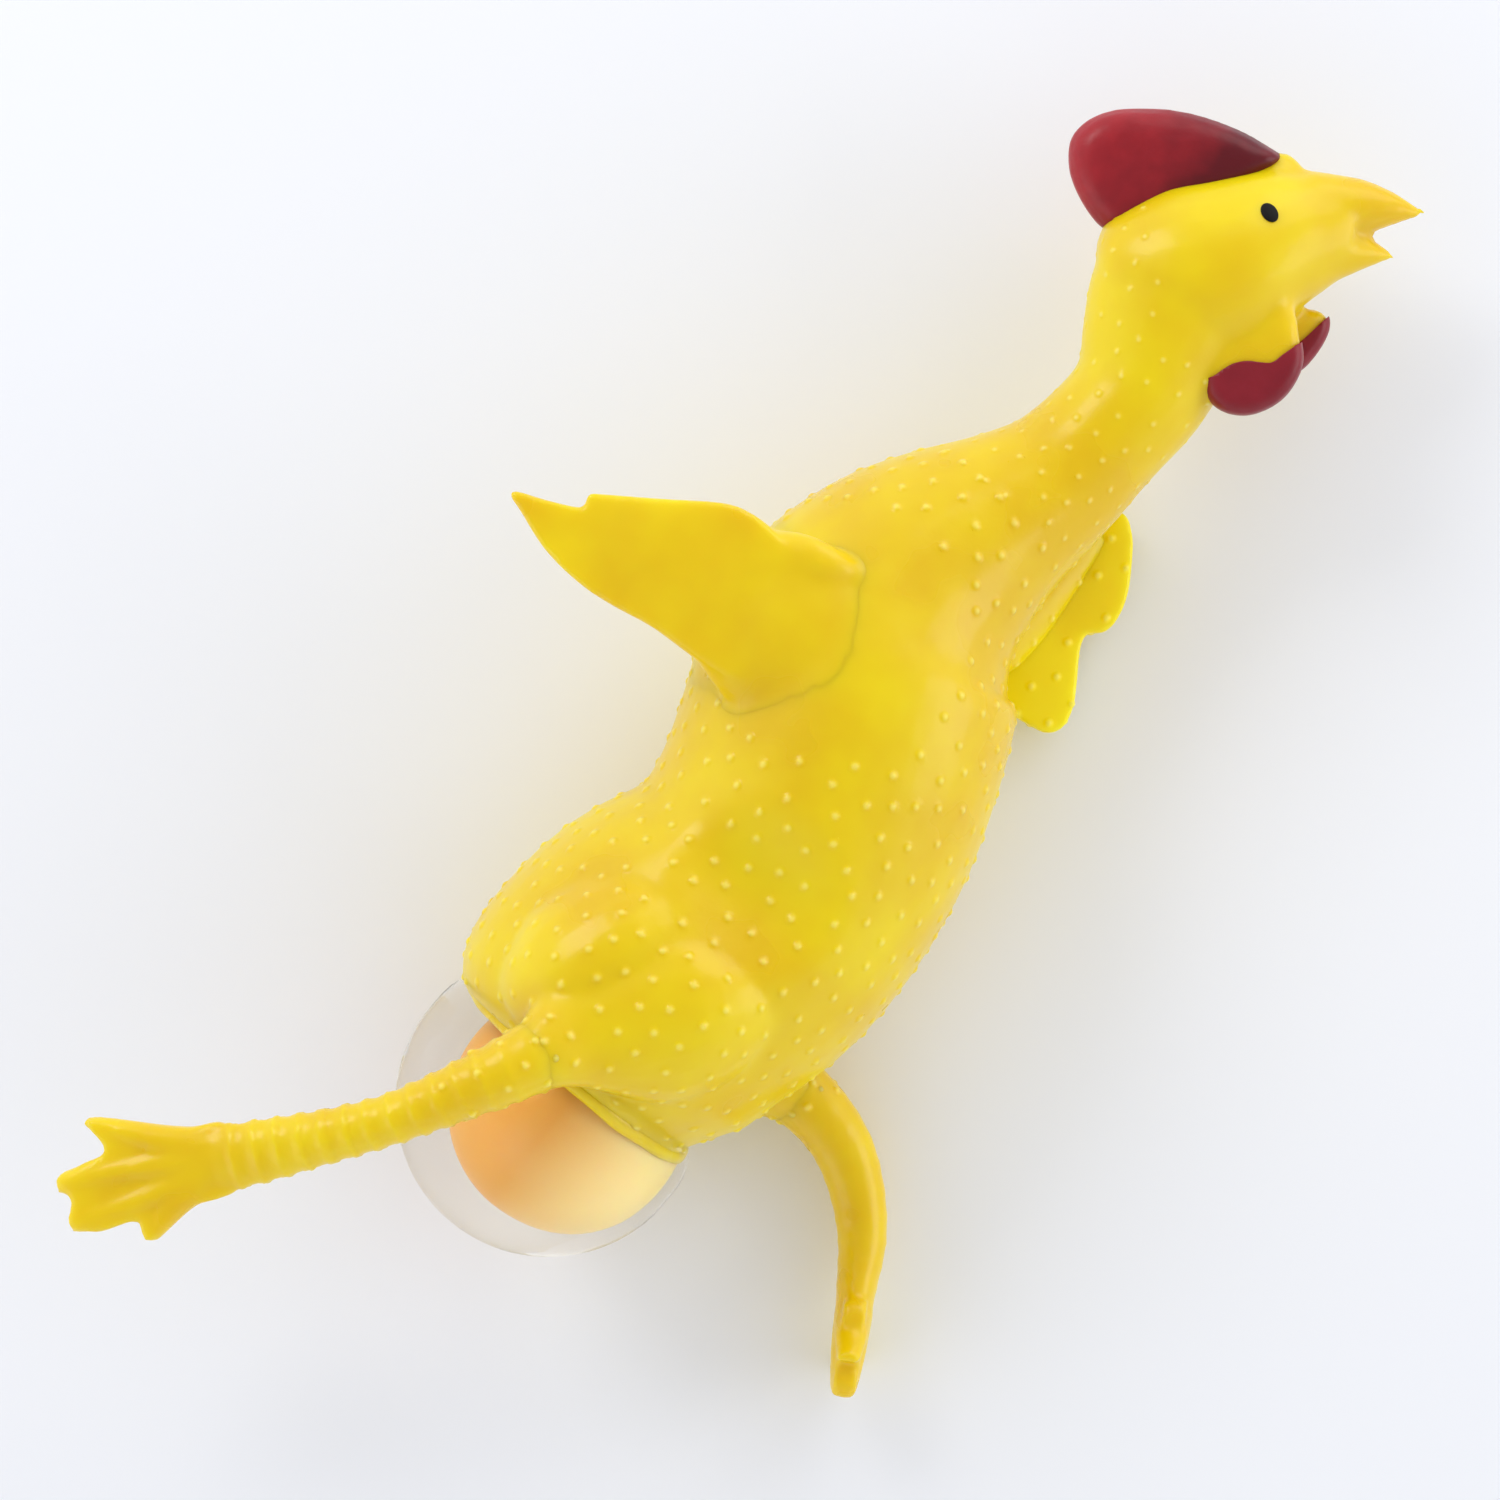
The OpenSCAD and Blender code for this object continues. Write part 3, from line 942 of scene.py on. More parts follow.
@dataclass
class Skin:
    """The yellow moulding of body, neck and head: a thick hollow wall, open at the vent."""

    voxel: float = 0.58
    nodule: Point2 = (0.68, 0.26)
    fine_nodule: Point2 = (0.55, 0.12)
    fine_gap: float = 2.6
    dent_slack: float = 0.7
    flank_height: float = 6.0
    pad_margin: float = 1.6
    pad_thickness: float = 1.4
    smooth_shoulder: tuple[float, float] = (12.0, 9.0)
    shoulder_reach: float = 14.0

    def torso(self) -> bpy.types.Object:
        """The body from the vent to the neck, squeezed behind the wings.

        Returns:
            A closed form.
        """
        return soft_tube("torso_form", [
            (-42.1, 0.5, 16.2, 12.0, 12.0), (-41.6, 0.5, 16.2, 13.3, 13.3), (-40.2, 0.6, 16.3, 14.8, 14.6),
            (-38.2, 0.8, 16.6, 16.4, 16.1), (-35.5, 1.0, 16.9, 17.6, 17.2), (-32, 0.9, 17, 18.1, 17.7),
            (-26, 0, 17, 18.4, 18.2), (-19, -2.2, 17, 18.0, 18.0), (-12, -2.8, 17, 17.4, 17.6),
            (-4, -1.4, 17, 17.4, 17.6), (4, 1.6, 17, 17.4, 17.6), (11, 4.8, 17, 17.2, 16.8),
            (16, 6.2, 17, 15.9, 15.4), (22, 6.2, 17, 13.7, 13.3), (28, 5.0, 17, 11.3, 11.2),
            (34, 3.2, 17, 9.0, 9.2), (40, 1.6, 17, 7.5, 7.6), (46, 1.1, 17, 6.9, 7.0),
            (50, 1.0, 17, 6.8, 7.0)], sides=48)

    def neck(self) -> bpy.types.Object:
        """The neck, up into the head.

        Returns:
            A closed form.
        """
        return soft_tube("neck_form", [
            (38, 1.9, 17, 7.7, 7.8), (46, 1.0, 17, 6.9, 7.0), (52, 1.0, 17, 7.3, 7.2),
            (57, 2.6, 17, 8.4, 7.6), (62, 4.4, 17, 9.3, 8.0), (66, 5.2, 17, 8.4, 7.4)])

    def head(self) -> list[bpy.types.Object]:
        """The head with its beak, brow, cheek and chin, all modelled along the beak.

        Returns:
            Closed forms that overlap.
        """
        forms = {
            "head_form": [
                (-10.7, -0.4, 0, 2.4, 2.6), (-9.6, -0.8, 0, 5.2, 5.0), (-6.8, -1.6, 0, 8.0, 7.0),
                (-3.2, -1.6, 0, 9.6, 8.2), (0.6, -1.3, 0, 10.0, 8.6), (4.6, -0.4, 0, 9.9, 8.2),
                (8.0, 0.9, 0, 8.9, 7.2), (10.8, 2.2, 0, 7.2, 6.0), (13.0, 2.9, 0, 6.2, 4.9),
                (14.8, 3.4, 0, 5.4, 4.1), (16.2, 3.65, 0, 4.8, 3.3)],
            "beak_upper_form": [
                (12, 5.6, 0, 4.0, 4.4), (15.2, 5.8, 0, 3.3, 3.6), (17.2, 5.75, 0, 3.0, 3.0),
                (19.0, 5.7, 0, 2.4, 2.4), (20.9, 5.55, 0, 1.6, 1.7), (22.6, 5.3, 0, 0.8, 0.9),
                (24.0, 5.1, 0, 0.25, 0.25)],
            "beak_lower_form": [
                (12, 1.4, 0, 3.2, 3.6), (15.0, 1.0, 0, 2.8, 3.0), (17.0, 0.95, 0, 1.95, 2.3),
                (18.8, 0.85, 0, 1.15, 1.4), (20.7, 0.6, 0, 0.25, 0.25)],
            "brow_form": [
                (5.8, 7.4, 0, 2.6, 2.6), (7.6, 8.4, 0, 2.8, 2.2), (8.7, 8.9, 0, 2.7, 1.8),
                (10.0, 8.2, 0, 2.0, 1.7), (12, 7.0, 0, 2.0, 1.8)],
        }
        tubes = [soft_tube(name, rows, sides=24, straight=name != "brow_form") for name, rows in forms.items()]
        flaps = [flap.form("flap_form", 0) for flap in (NEAR_FLAP, FAR_FLAP)]
        return [on_head(form) for form in tubes + flaps]

    def swellings(self) -> list[bpy.types.Object]:
        """The thighs, the rump and the roots of the wings.

        Returns:
            Closed forms that overlap the torso.
        """
        forms = {
            "right_thigh_form": [
                (-18.6, -10.6, 26.4, 2.4, 2.6), (-21.6, -8.4, 28.0, 6.4, 5.8), (-26.0, -4.6, 28.8, 9.6, 8.0),
                (-31.2, -0.6, 29.4, 10.0, 7.8), (-36.0, 2.3, 31.8, 7.3, 5.7), (-39.4, 3.9, 34.4, 4.9, 4.4),
                (-42.4, 5.0, 36.0, 3.5, 3.4), (-45.6, 6.4, 36.5, 2.9, 2.9)],
            "right_rump_form": [
                (-19, 2, 23, 7, 10), (-25, 4, 24, 9.2, 12.2), (-31, 6, 24.5, 9.4, 12.4),
                (-35.2, 7.4, 25, 8.2, 11.2), (-38.2, 8.6, 25.4, 6.0, 8.4), (-40.2, 9.2, 25.6, 3.4, 4.6)],
            "left_thigh_form": [
                (-29, 2.0, 6.8, 3.6, 4.4), (-29.4, -5.6, 6.2, 6.6, 5.4), (-29.2, -11.6, 5.7, 6.2, 5.1),
                (-28.5, -15.6, 5.4, 4.9, 4.8), (-28.1, -19.4, 5.1, 3.7, 3.7), (-28.1, -22.4, 4.8, 3.1, 3.1)],
            "right_shoulder_form": [
                (9.4, -2, 24, 8.0, 6), (9.2, 5, 27.0, 8.6, 5.9), (8.7, 11, 28.9, 9.4, 4.2),
                (8.2, 14.6, 29.3, 7.4, 2.4), (8.0, 17, 29.2, 4.8, 1.0)],
            "left_shoulder_form": [
                (15, -1.5, 8, 4, 4), (23, -3.2, 6.2, 5, 3.6), (32, -3.4, 5.2, 4.4, 2.4),
                (39, -4.4, 4.4, 2.6, 1.2)],
        }
        return [soft_tube(name, rows, sides=24) for name, rows in forms.items()]

    def cavity(self) -> bpy.types.Object:
        """The hollow inside the wall, from the vent to the root of the neck.

        Returns:
            A closed form to cut away.
        """
        return soft_tube("cavity_form", [
            (-46, 0.5, 16.2, 11.3, 11.3), (-42, 0.5, 16.2, 11.3, 11.3), (-40.9, 0.5, 16.2, 11.4, 11.4),
            (-39.6, 0.5, 16.2, 12.6, 12.6), (-38.6, 0.6, 16.3, 13.7, 13.6), (-36, 0.9, 16.7, 14.3, 14.1),
            (-32, 1.0, 17, 15.0, 14.2), (-26, 0, 17, 15.6, 14.2), (-19, -2.2, 17, 15.2, 12.6),
            (-12, -2.8, 17, 14.6, 12.0), (-4, -1.4, 17, 14.6, 12.8), (4, 1.6, 17, 14.6, 14.2),
            (11, 4.8, 17, 14.4, 14.2), (16, 6.4, 17, 13.2, 13), (22, 6.3, 17, 11, 10.6),
            (28, 5.0, 17, 8.6, 8.4), (32, 3.8, 17, 5, 5)], sides=40)

    def nodule_spacing(self, spot: Vector, normal: Vector) -> float:
        """Distance between nodules at a spot of the skin.

        Args:
            spot: Place on the skin.
            normal: Direction of the skin there.

        Returns:
            The distance, or 0 on a smooth stretch.
        """
        shoulder = math.dist((spot.x, spot.y), self.smooth_shoulder) < self.shoulder_reach and normal.z > 0.35
        under_leg = spot.z > 32 and spot.x < -40
        bare = spot.x < VENT_END or spot.x >= NECK_START or spot.z < TABLE_GAP or shoulder or under_leg
        return 0 if bare else NODULE_GAP

    def fine_spacing(self, spot: Vector, normal: Vector) -> float:
        """Distance between the smaller nodules on the neck and the back of the head.

        Args:
            spot: Place on the skin.
            normal: Direction of the skin there.

        Returns:
            The distance, or 0 on a smooth stretch.
        """
        beak = Vector((math.cos(math.radians(HEAD_TURN)), math.sin(math.radians(HEAD_TURN)), 0))
        behind = (spot - Vector(HEAD_PLACE)).dot(beak) < -4.5
        if spot.x < NECK_START or spot.x > 57 and (not behind or normal.y < -0.2):
            return 0
        return self.fine_gap

    def press_dents(self, piece: bpy.types.Object) -> None:
        """Presses the two finger dents into the sides.

        Args:
            piece: The skin.
        """
        places = coordinates(piece)
        across = np.hypot(places[:, 0] - PATCH_MIDDLE[0], places[:, 1] - PATCH_MIDDLE[1]) / PATCH_REACH
        depth = hump(across) * (PATCH_DEPTH - self.dent_slack)
        side = np.clip((places[:, 2] - SPINE_HEIGHT) / self.flank_height, -1, 1)
        places[:, 2] -= depth * side
        move_vertices(piece, places)

    def grip_pad(self, skin: bpy.types.Object, name: str, side: int) -> bpy.types.Object:
        """Part of the wall that fills a dent when the fingers let go.

        Args:
            skin: The skin before its dents.
            name: Name of the pad.
            side: 1 for the right side and -1 for the left one.

        Returns:
            The pad, lying under its dent.
        """
        only(skin)
        bpy.ops.object.duplicate()
        pad = bpy.context.object
        pad.name = name
        for face in pad.data.polygons:
            away = math.dist(face.center[:2], PATCH_MIDDLE)
            face.select = not (away < PATCH_REACH - self.pad_margin and face.normal.z * side > 0.3)
        with editing(pad):
            bpy.ops.mesh.select_mode(type="FACE")
            bpy.ops.mesh.delete(type="FACE")
        apply_modifier(pad, "SOLIDIFY", thickness=self.pad_thickness, offset=-1)
        place(pad, (0, 0, -side * PATCH_DEPTH))
        return pad

    def build(self, finishes: Finishes) -> bpy.types.Object:
        """Moulds the skin and its grip pads.

        Args:
            finishes: The toy's materials.

        Returns:
            The skin.
        """
        forms = [self.torso(), self.neck(), *self.head(), *self.swellings()]
        skin = moulded("moulded_skin", forms, self.voxel, smoothing=4)
        raise_nodules(skin, scatter(skin, self.nodule_spacing, SEED), *self.nodule)
        raise_nodules(skin, scatter(skin, self.fine_spacing, SEED + 1), *self.fine_nodule)
        rest_on_table(skin)
        pads = {"grip_wall_right": ("right_patch", 1), "grip_wall_left": ("left_patch", -1)}
        for node, (body, side) in pads.items():
            pad = self.grip_pad(skin, node.replace("wall", "pad"), side)
            finish_piece(pad, finishes.rubber)
            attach(pad, body)
            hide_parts(node)
        self.press_dents(skin)
        hollow = self.cavity()
        apply_modifier(skin, "BOOLEAN", operation="DIFFERENCE", object=hollow, solver="EXACT")
        discard(hollow)
        finish_piece(skin, finishes.rubber)
        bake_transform(skin)
        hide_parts("torso_shell", "thigh_right", "thigh_left", "wing_root_right", "wing_root_left",
                    "neck", "head", "beak_upper", "beak_lower")
        return skin


# ---------------------------------------------------------------- comb, wattles and eyes


@dataclass
class FacePaint:
    """The painted comb, wattles and eyes."""

    comb_outline: tuple[Point2, ...] = (
        (-9.9, 3.2), (-11.8, 5.2), (-13.3, 8.0), (-13.9, 10.6), (-13.5, 13.2), (-11.6, 15.1), (-8.9, 16.1),
        (-5.5, 16.3), (-1.9, 16.0), (1.5, 15.1), (4.9, 13.7), (7.6, 12.1), (9.2, 10.9), (8.0, 9.6),
        (5, 7.6), (0, 5.6), (-4, 4.4), (-7, 3.0))
    eye_spot: Point2 = (7.06, 4.69)
    eye_radii: tuple[float, float, float] = (0.9, 1.16, 0.28)
    eye_lean: float = 25.0

    def comb(self) -> bpy.types.Object:
        """A thick rounded comb, highest at the back, that comes to a point on the brow.

        Returns:
            The comb.
        """
        return on_head(cushion("comb_painted", self.comb_outline, 0, 6.2, 3.6, voxel=FINE_VOXEL))

    def eye(self, name: str, side: int, skin: bpy.types.Object) -> bpy.types.Object:
        """A dab of black paint, a little proud of the cheek.

        Args:
            name: Name of the dab.
            side: 1 for the right eye and -1 for the left one.
            skin: The skin that it lies on.

        Returns:
            The dab.
        """
        turned = Matrix.Rotation(math.radians(HEAD_TURN), 3, "Z")
        over = Vector(HEAD_PLACE) + turned @ Vector((*self.eye_spot, side * 20.0))
        hit, spot, normal, _ = skin.ray_cast(over * MM, Vector((0, 0, -side)))
        if not hit:
            raise ValueError(f"{name}: the skin isn't under the eye")
        dab = primitive(name, bpy.ops.mesh.primitive_uv_sphere_add, segments=32, ring_count=16, radius=1)
        dab.scale = self.eye_radii
        bpy.ops.object.transform_apply(location=False, rotation=False, scale=True)
        lean = Matrix.Rotation(math.radians(HEAD_TURN + side * self.eye_lean), 4, "Z")
        facing = Vector((0, 0, 1)).rotation_difference(normal).to_matrix().to_4x4()
        dab.data.transform(Matrix.Translation(spot / MM) @ facing @ lean)
        return dab

    def build(self, finishes: Finishes, skin: bpy.types.Object) -> None:
        """Builds the painted pieces.

        Args:
            finishes: The toy's materials.
            skin: The skin under them.
        """
        pieces = [
            (self.comb(), finishes.comb_red, Slot.RED, "comb"),
            (NEAR_FLAP.painted("wattle_near_painted"), finishes.red, Slot.RED, "wattle_right"),
            (FAR_FLAP.painted("wattle_far_painted"), finishes.red, Slot.RED, "wattle_left"),
            (self.eye("eye_near", 1, skin), finishes.black, Slot.BLACK, "eye_right"),
            (self.eye("eye_far", -1, skin), finishes.black, Slot.BLACK, "eye_left"),
        ]
        for piece, finish, slot, node in pieces:
            finish_piece(piece, finish)
            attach(piece, "head")
            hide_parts(node)


# ---------------------------------------------------------------- legs and feet


@dataclass
class Foot:
    """A webbed foot with three front toes and a spur, flat on the ground, toes towards +X."""

    web_thickness: float = 2.5
    web: tuple[Point2, ...] = (
        (-1, -3.2), (3.4, -3.9), (8.5, -5.2), (13.8, -6.9), (14.2, -6.3), (13.0, -3.4), (16.2, -2.6),
        (18.6, -1.2), (17.9, 0.8), (18.7, 2.6), (17.8, 3.7), (15.6, 4.6), (11.4, 4.3), (11.0, 6.2),
        (10.2, 6.6), (8.6, 5.9), (5.6, 4.2), (-1, 3.2))

    def build(self, length: float = 1.0) -> list[bpy.types.Object]:
        """Models the foot's web and toes.

        Args:
            length: Share of the full length, for a foot that is folded.

        Returns:
            Closed forms that overlap.
        """
        toes = {
            "upper_toe": [(1, -0.8, 0, 2.6, 2.0), (6, -2.8, 0, 1.9, 1.9), (10.6, -5.0, 0, 1.3, 1.6),
                          (13.4, -6.3, 0, 0.9, 1.1), (14.6, -6.9, 0, 0.4, 0.5)],
            "middle_toe": [(1, 0, 0, 2.8, 2.1), (8, -0.9, 0, 1.8, 2.0), (14, -1.2, 0, 1.4, 1.7),
                           (17.8, -1.1, 0, 1.3, 1.4), (19.2, -1.1, 0, 0.8, 0.9)],
            "lower_toe": [(2, 0.6, 0, 2.6, 2.0), (9, 2.1, 0, 1.7, 1.9), (14.6, 2.7, 0, 1.4, 1.6),
                          (17.6, 3.0, 0, 1.3, 1.3), (18.8, 3.1, 0, 0.8, 0.9)],
            "spur": [(3, 1.4, 0, 2.0, 1.9), (7.0, 3.6, 0, 1.6, 1.7), (9.2, 5.2, 0, 1.3, 1.4),
                     (10.3, 6.4, 0, 0.8, 0.9)],
        }
        forms = [slab("web_form", self.web, 0, self.web_thickness)]
        forms += [soft_tube(name, rows, sides=16) for name, rows in toes.items()]
        for form in forms:
            form.scale = (length, 1, 1)
            only(form)
            bpy.ops.object.transform_apply(location=False, rotation=False, scale=True)
        return forms


@dataclass
class Leg:
    """One leg: shank and foot, whose root lies in the skin's thigh."""

    name: str
    shank: Sequence[Row]
    ankle: Row
    foot_turn: float
    foot_roll: float
    foot_length: float
    body: str
    replaced: tuple[str, ...]
    bend: tuple[Row, Row]
    ring_pitch: float = 2.5
    ring_height: float = 0.24
    ring_sharpness: int = 5
    ring_start: float = 6.0
    ring_reach: float = 5.0
    nodule_length: float = 12.0

    def ring_weights(self, piece: bpy.types.Object) -> np.ndarray:
        """Weights of the horny rings round the lower shank.

        Args:
            piece: The leg.

        Returns:
            One weight for each vertex.
        """
        run = np.array([row[:3] for row in smooth_run(self.shank, 12)])
        along = np.concatenate([[0], np.cumsum(np.linalg.norm(np.diff(run, axis=0), axis=1))])
        tree = search_tree(run)
        weights = np.zeros(len(piece.data.vertices))
        for index, spot in enumerate(coordinates(piece)):
            _, nearest, away = tree.find(spot)
            if nearest in (0, len(run) - 1) or away > self.ring_reach:
                continue
            length = along[nearest]
            edge = np.clip(length / self.ring_start - 1, 0, 1) * np.clip((along[-1] - 0.5 - length) / 2, 0, 1)
            weights[index] = edge * abs(math.cos(math.pi * length / self.ring_pitch)) ** self.ring_sharpness
        return weights

    def spacing(self, spot: Vector, normal: Vector) -> float:
        """Distance between nodules at a spot of the leg.

        Args:
            spot: Place on the leg.
            normal: Direction of the surface there; not used.

        Returns:
            The distance, or 0 on a smooth stretch.
        """
        hip = Vector(self.shank[1][:3])
        outward = (Vector(self.shank[-1][:3]) - hip).normalized()
        bare = spot.z < TABLE_GAP or (spot - hip).dot(outward) > self.nodule_length
        return 0 if bare else NODULE_GAP

    def build(self, finishes: Finishes) -> bpy.types.Object:
        """Moulds the leg.

        Args:
            finishes: The toy's materials.

        Returns:
            The leg.
        """
        foot = Foot().build(self.foot_length)
        for form in foot:
            place(form, self.ankle, turn=self.foot_turn, roll=self.foot_roll, tilt=3 if not self.foot_roll else 0)
        leg = moulded(self.name, [soft_tube("shank_form", self.shank, sides=28), *foot], FINE_VOXEL, smoothing=4)
        emboss(leg, self.ring_weights(leg), self.ring_height)
        raise_nodules(leg, scatter(leg, self.spacing, SEED + 2), *LIMB_NODULE)
        rest_on_table(leg)
        finish_piece(leg, finishes.rubber)
        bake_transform(leg)
        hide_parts(*self.replaced)
        return leg


RIGHT_LEG = Leg(
    name="leg_near",
    shank=[
        (-36, 2.6, 33.0, 3.0, 3.0), (-39.6, 4.0, 34.9, 3.9, 3.8), (-43, 5.4, 36.2, 3.6, 3.5),
        (-47, 7.3, 36.6, 3.2, 3.2), (-52, 9.8, 36.2, 2.8, 2.9), (-57, 12.6, 35.4, 2.6, 2.7),
        (-62.4, 16.4, 34.0, 2.8, 2.6), (-67.2, 20.0, 32.6, 3.2, 2.3), (-71.4, 23.3, 31.5, 3.4, 2.0)],
    ankle=(-70.4, 22.6, 31.4),
    foot_turn=143,
    foot_roll=0,
    foot_length=0.93,
    body="right_leg",
    replaced=("shank_right", "foot_right"),
    bend=((-38, 3.2, 34), (-45, 6.8, 36)))

LEFT_LEG = Leg(
    name="leg_far",
    shank=[
        (-28.6, -12.4, 5.4, 3.0, 3.2), (-28.3, -16, 5.2, 4.0, 4.0), (-28.1, -20, 4.9, 3.7, 3.7),
        (-28.6, -24, 4.6, 3.4, 3.5), (-30, -27.8, 4.2, 3.2, 3.3), (-32.8, -31.8, 4.2, 2.9, 3.1),
        (-36, -34.9, 4.6, 2.6, 3.1), (-39.6, -37.2, 5.4, 2.2, 3.4), (-41.8, -38.6, 6.0, 2.0, 3.6)],
    ankle=(-41.4, -38.4, 7.0),
    foot_turn=212,
    foot_roll=90,
    foot_length=0.52,
    body="left_leg",
    replaced=("shank_left", "foot_left"),
    bend=((-28, -15, 5), (-28, -22, 5)),
    ring_height=0.06,
    nodule_length=5.0)


# ---------------------------------------------------------------- wings


@dataclass
class Wing:
    """One wing: a soft flap whose root is moulded into the shoulder."""

    name: str
    outline: Sequence[Point2]
    level: float
    thickness: float
    pulls: Sequence[tuple[Row, float, Row]]
    body: str
    replaced: tuple[str, ...]
    bend: tuple[Row, Row]
    # Whether the wing takes the lighter copy of the rubber, painted light against the shade near the floor.
    shade_lightened: bool = False
    nodules: float = 0.0
    shoulder: tuple[tuple[Row, ...], ...] = ()
    shoulder_patch: tuple[Point2, ...] = ()
    root_end: float = 24.0
    root_fade: float = 5.0
    root_softening: int = 26
    patch_height: float = 22.0
    patch_proud: float = 0.05
    rim_sink: float = 0.35
    rim_width: float = 7.5

    def with_shoulder(self, blade: bpy.types.Object) -> bpy.types.Object:
        """Melts the blade, its shoulder and the flank round them into one patch of skin.

        Args:
            blade: The flap's own form.

        Returns:
            The patch, a hair prouder than the skin that it lies on, with a rim that sinks under it.
        """
        forms = [blade, Skin().torso(), *[soft_tube("shoulder_form", rows, sides=24) for rows in self.shoulder]]
        wing = moulded(self.name, forms, FINE_VOXEL, smoothing=7)
        root = np.clip((self.root_end - coordinates(wing)[:, 1]) / self.root_fade, 0, 1)
        soften(wing, root, self.root_softening)
        mask = slab("patch_mask", self.shoulder_patch, self.level, self.patch_height)
        apply_modifier(wing, "BOOLEAN", operation="INTERSECT", object=mask, solver="EXACT")
        discard(mask)
        emboss(wing, np.ones(len(wing.data.vertices)), self.patch_proud)
        rim = np.array([point[:2] for point in smooth_loop(self.shoulder_patch, 8)])
        away = np.min(np.linalg.norm(coordinates(wing)[:, None, :2] - rim[None], axis=2), axis=1)
        emboss(wing, np.clip(1 - away / self.rim_width, 0, 1) ** 2, -self.rim_sink)
        return wing

    def spacing(self, spot: Vector, normal: Vector) -> float:
        """Distance between nodules on the flap's two faces.

        Args:
            spot: Place on the wing; not used.
            normal: Direction of the surface there.

        Returns:
            The distance, or 0 on a rim.
        """
        return self.nodules if abs(normal.z) > 0.6 else 0

    def build(self, finishes: Finishes) -> bpy.types.Object:
        """Moulds the wing.

        Args:
            finishes: The toy's materials.

        Returns:
            The wing.
        """
        blade = slab("blade_form", self.outline, self.level, self.thickness)
        wing = self.with_shoulder(blade) if self.shoulder else moulded(self.name, [blade], 0.36, smoothing=8)
        for centre, reach, move in self.pulls:
            pull(wing, centre, reach, move)
        if self.nodules:
            raise_nodules(wing, scatter(wing, self.spacing, SEED + 3), *LIMB_NODULE)
        rest_on_table(wing)
        finish_piece(wing, finishes.shade_lightened_rubber if self.shade_lightened else finishes.rubber)
        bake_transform(wing)
        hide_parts(*self.replaced)
        return wing


RIGHT_WING = Wing(
    name="wing_near",
    outline=(
        (14.3, 17.6), (15.6, 20.4), (15.6, 23.3), (14.6, 26.5), (10.6, 32.0), (6.9, 37.2), (6.2, 38.0),
        (5.4, 37.6), (4.6, 37.7), (3.0, 40.8), (1.3, 44.4), (0.4, 42.2), (-1.0, 37.8), (-1.4, 33),
        (-1.0, 29.0), (0, 24), (0.4, 18), (2, 13), (6, 11.0), (11, 12.6)),
    level=31.0,
    thickness=2.7,
    pulls=(((8, 28, 31), 10, (0, 0, 0.9)),),
    shoulder=(
        ((9.4, -2, 24, 8.0, 6), (9.2, 5, 27.0, 8.6, 5.9), (8.7, 11, 28.9, 9.6, 4.3), (8.2, 15.5, 29.9, 9.2, 3.0),
         (7.8, 19.5, 30.4, 7.6, 1.8), (7.5, 23, 30.6, 6.2, 0.9), (7.4, 25, 30.6, 5.4, 0.3)),
        ((14.2, 21.2, 29.0, 1.0, 1.6), (15.2, 18.4, 30.2, 2.2, 2.0), (16.2, 15.2, 30.9, 2.4, 1.9),
         (17.4, 12.6, 30.6, 1.6, 1.4), (18.4, 10.8, 30.0, 0.4, 0.6)),
    ),
    shoulder_patch=(
        (-8, 52), (20, 52), (21.5, 30), (22, 16), (20, 8), (15, 3), (9, 1), (3, 3), (-3, 8), (-7, 18),
        (-8, 30)),
    body="right_wing",
    replaced=("wing_right",),
    bend=((8, 17, 31), (8, 24, 31)))

LEFT_WING = Wing(
    name="wing_far",
    outline=(
        (41.8, -6.0), (40.6, -8.4), (38.4, -10.2), (35.6, -12.0), (33.0, -12.9), (30.8, -12.8),
        (29.4, -11.5), (27.6, -12.0), (25.0, -13.8), (22.4, -15.4), (20.0, -15.9), (18.4, -14.8),
        (17.8, -12.2), (17.0, -8), (15, -3), (20, 1), (32, 0), (39, -2.6)),
    level=3.4,
    thickness=2.7,
    pulls=(
        ((36, -9, 3.4), 8, (0, 0, 0.5)),
        ((22, -12, 3.4), 8, (0, 0, 0.5)),
    ),
    body="left_wing",
    replaced=("wing_left",),
    bend=((29.5, -5, 3.4), (29.5, -9.5, 3.4)),
    # The far wing lies in shade near the floor, so it takes the lighter rubber as painted light.
    shade_lightened=True,
    nodules=2.9)


# ---------------------------------------------------------------- the egg


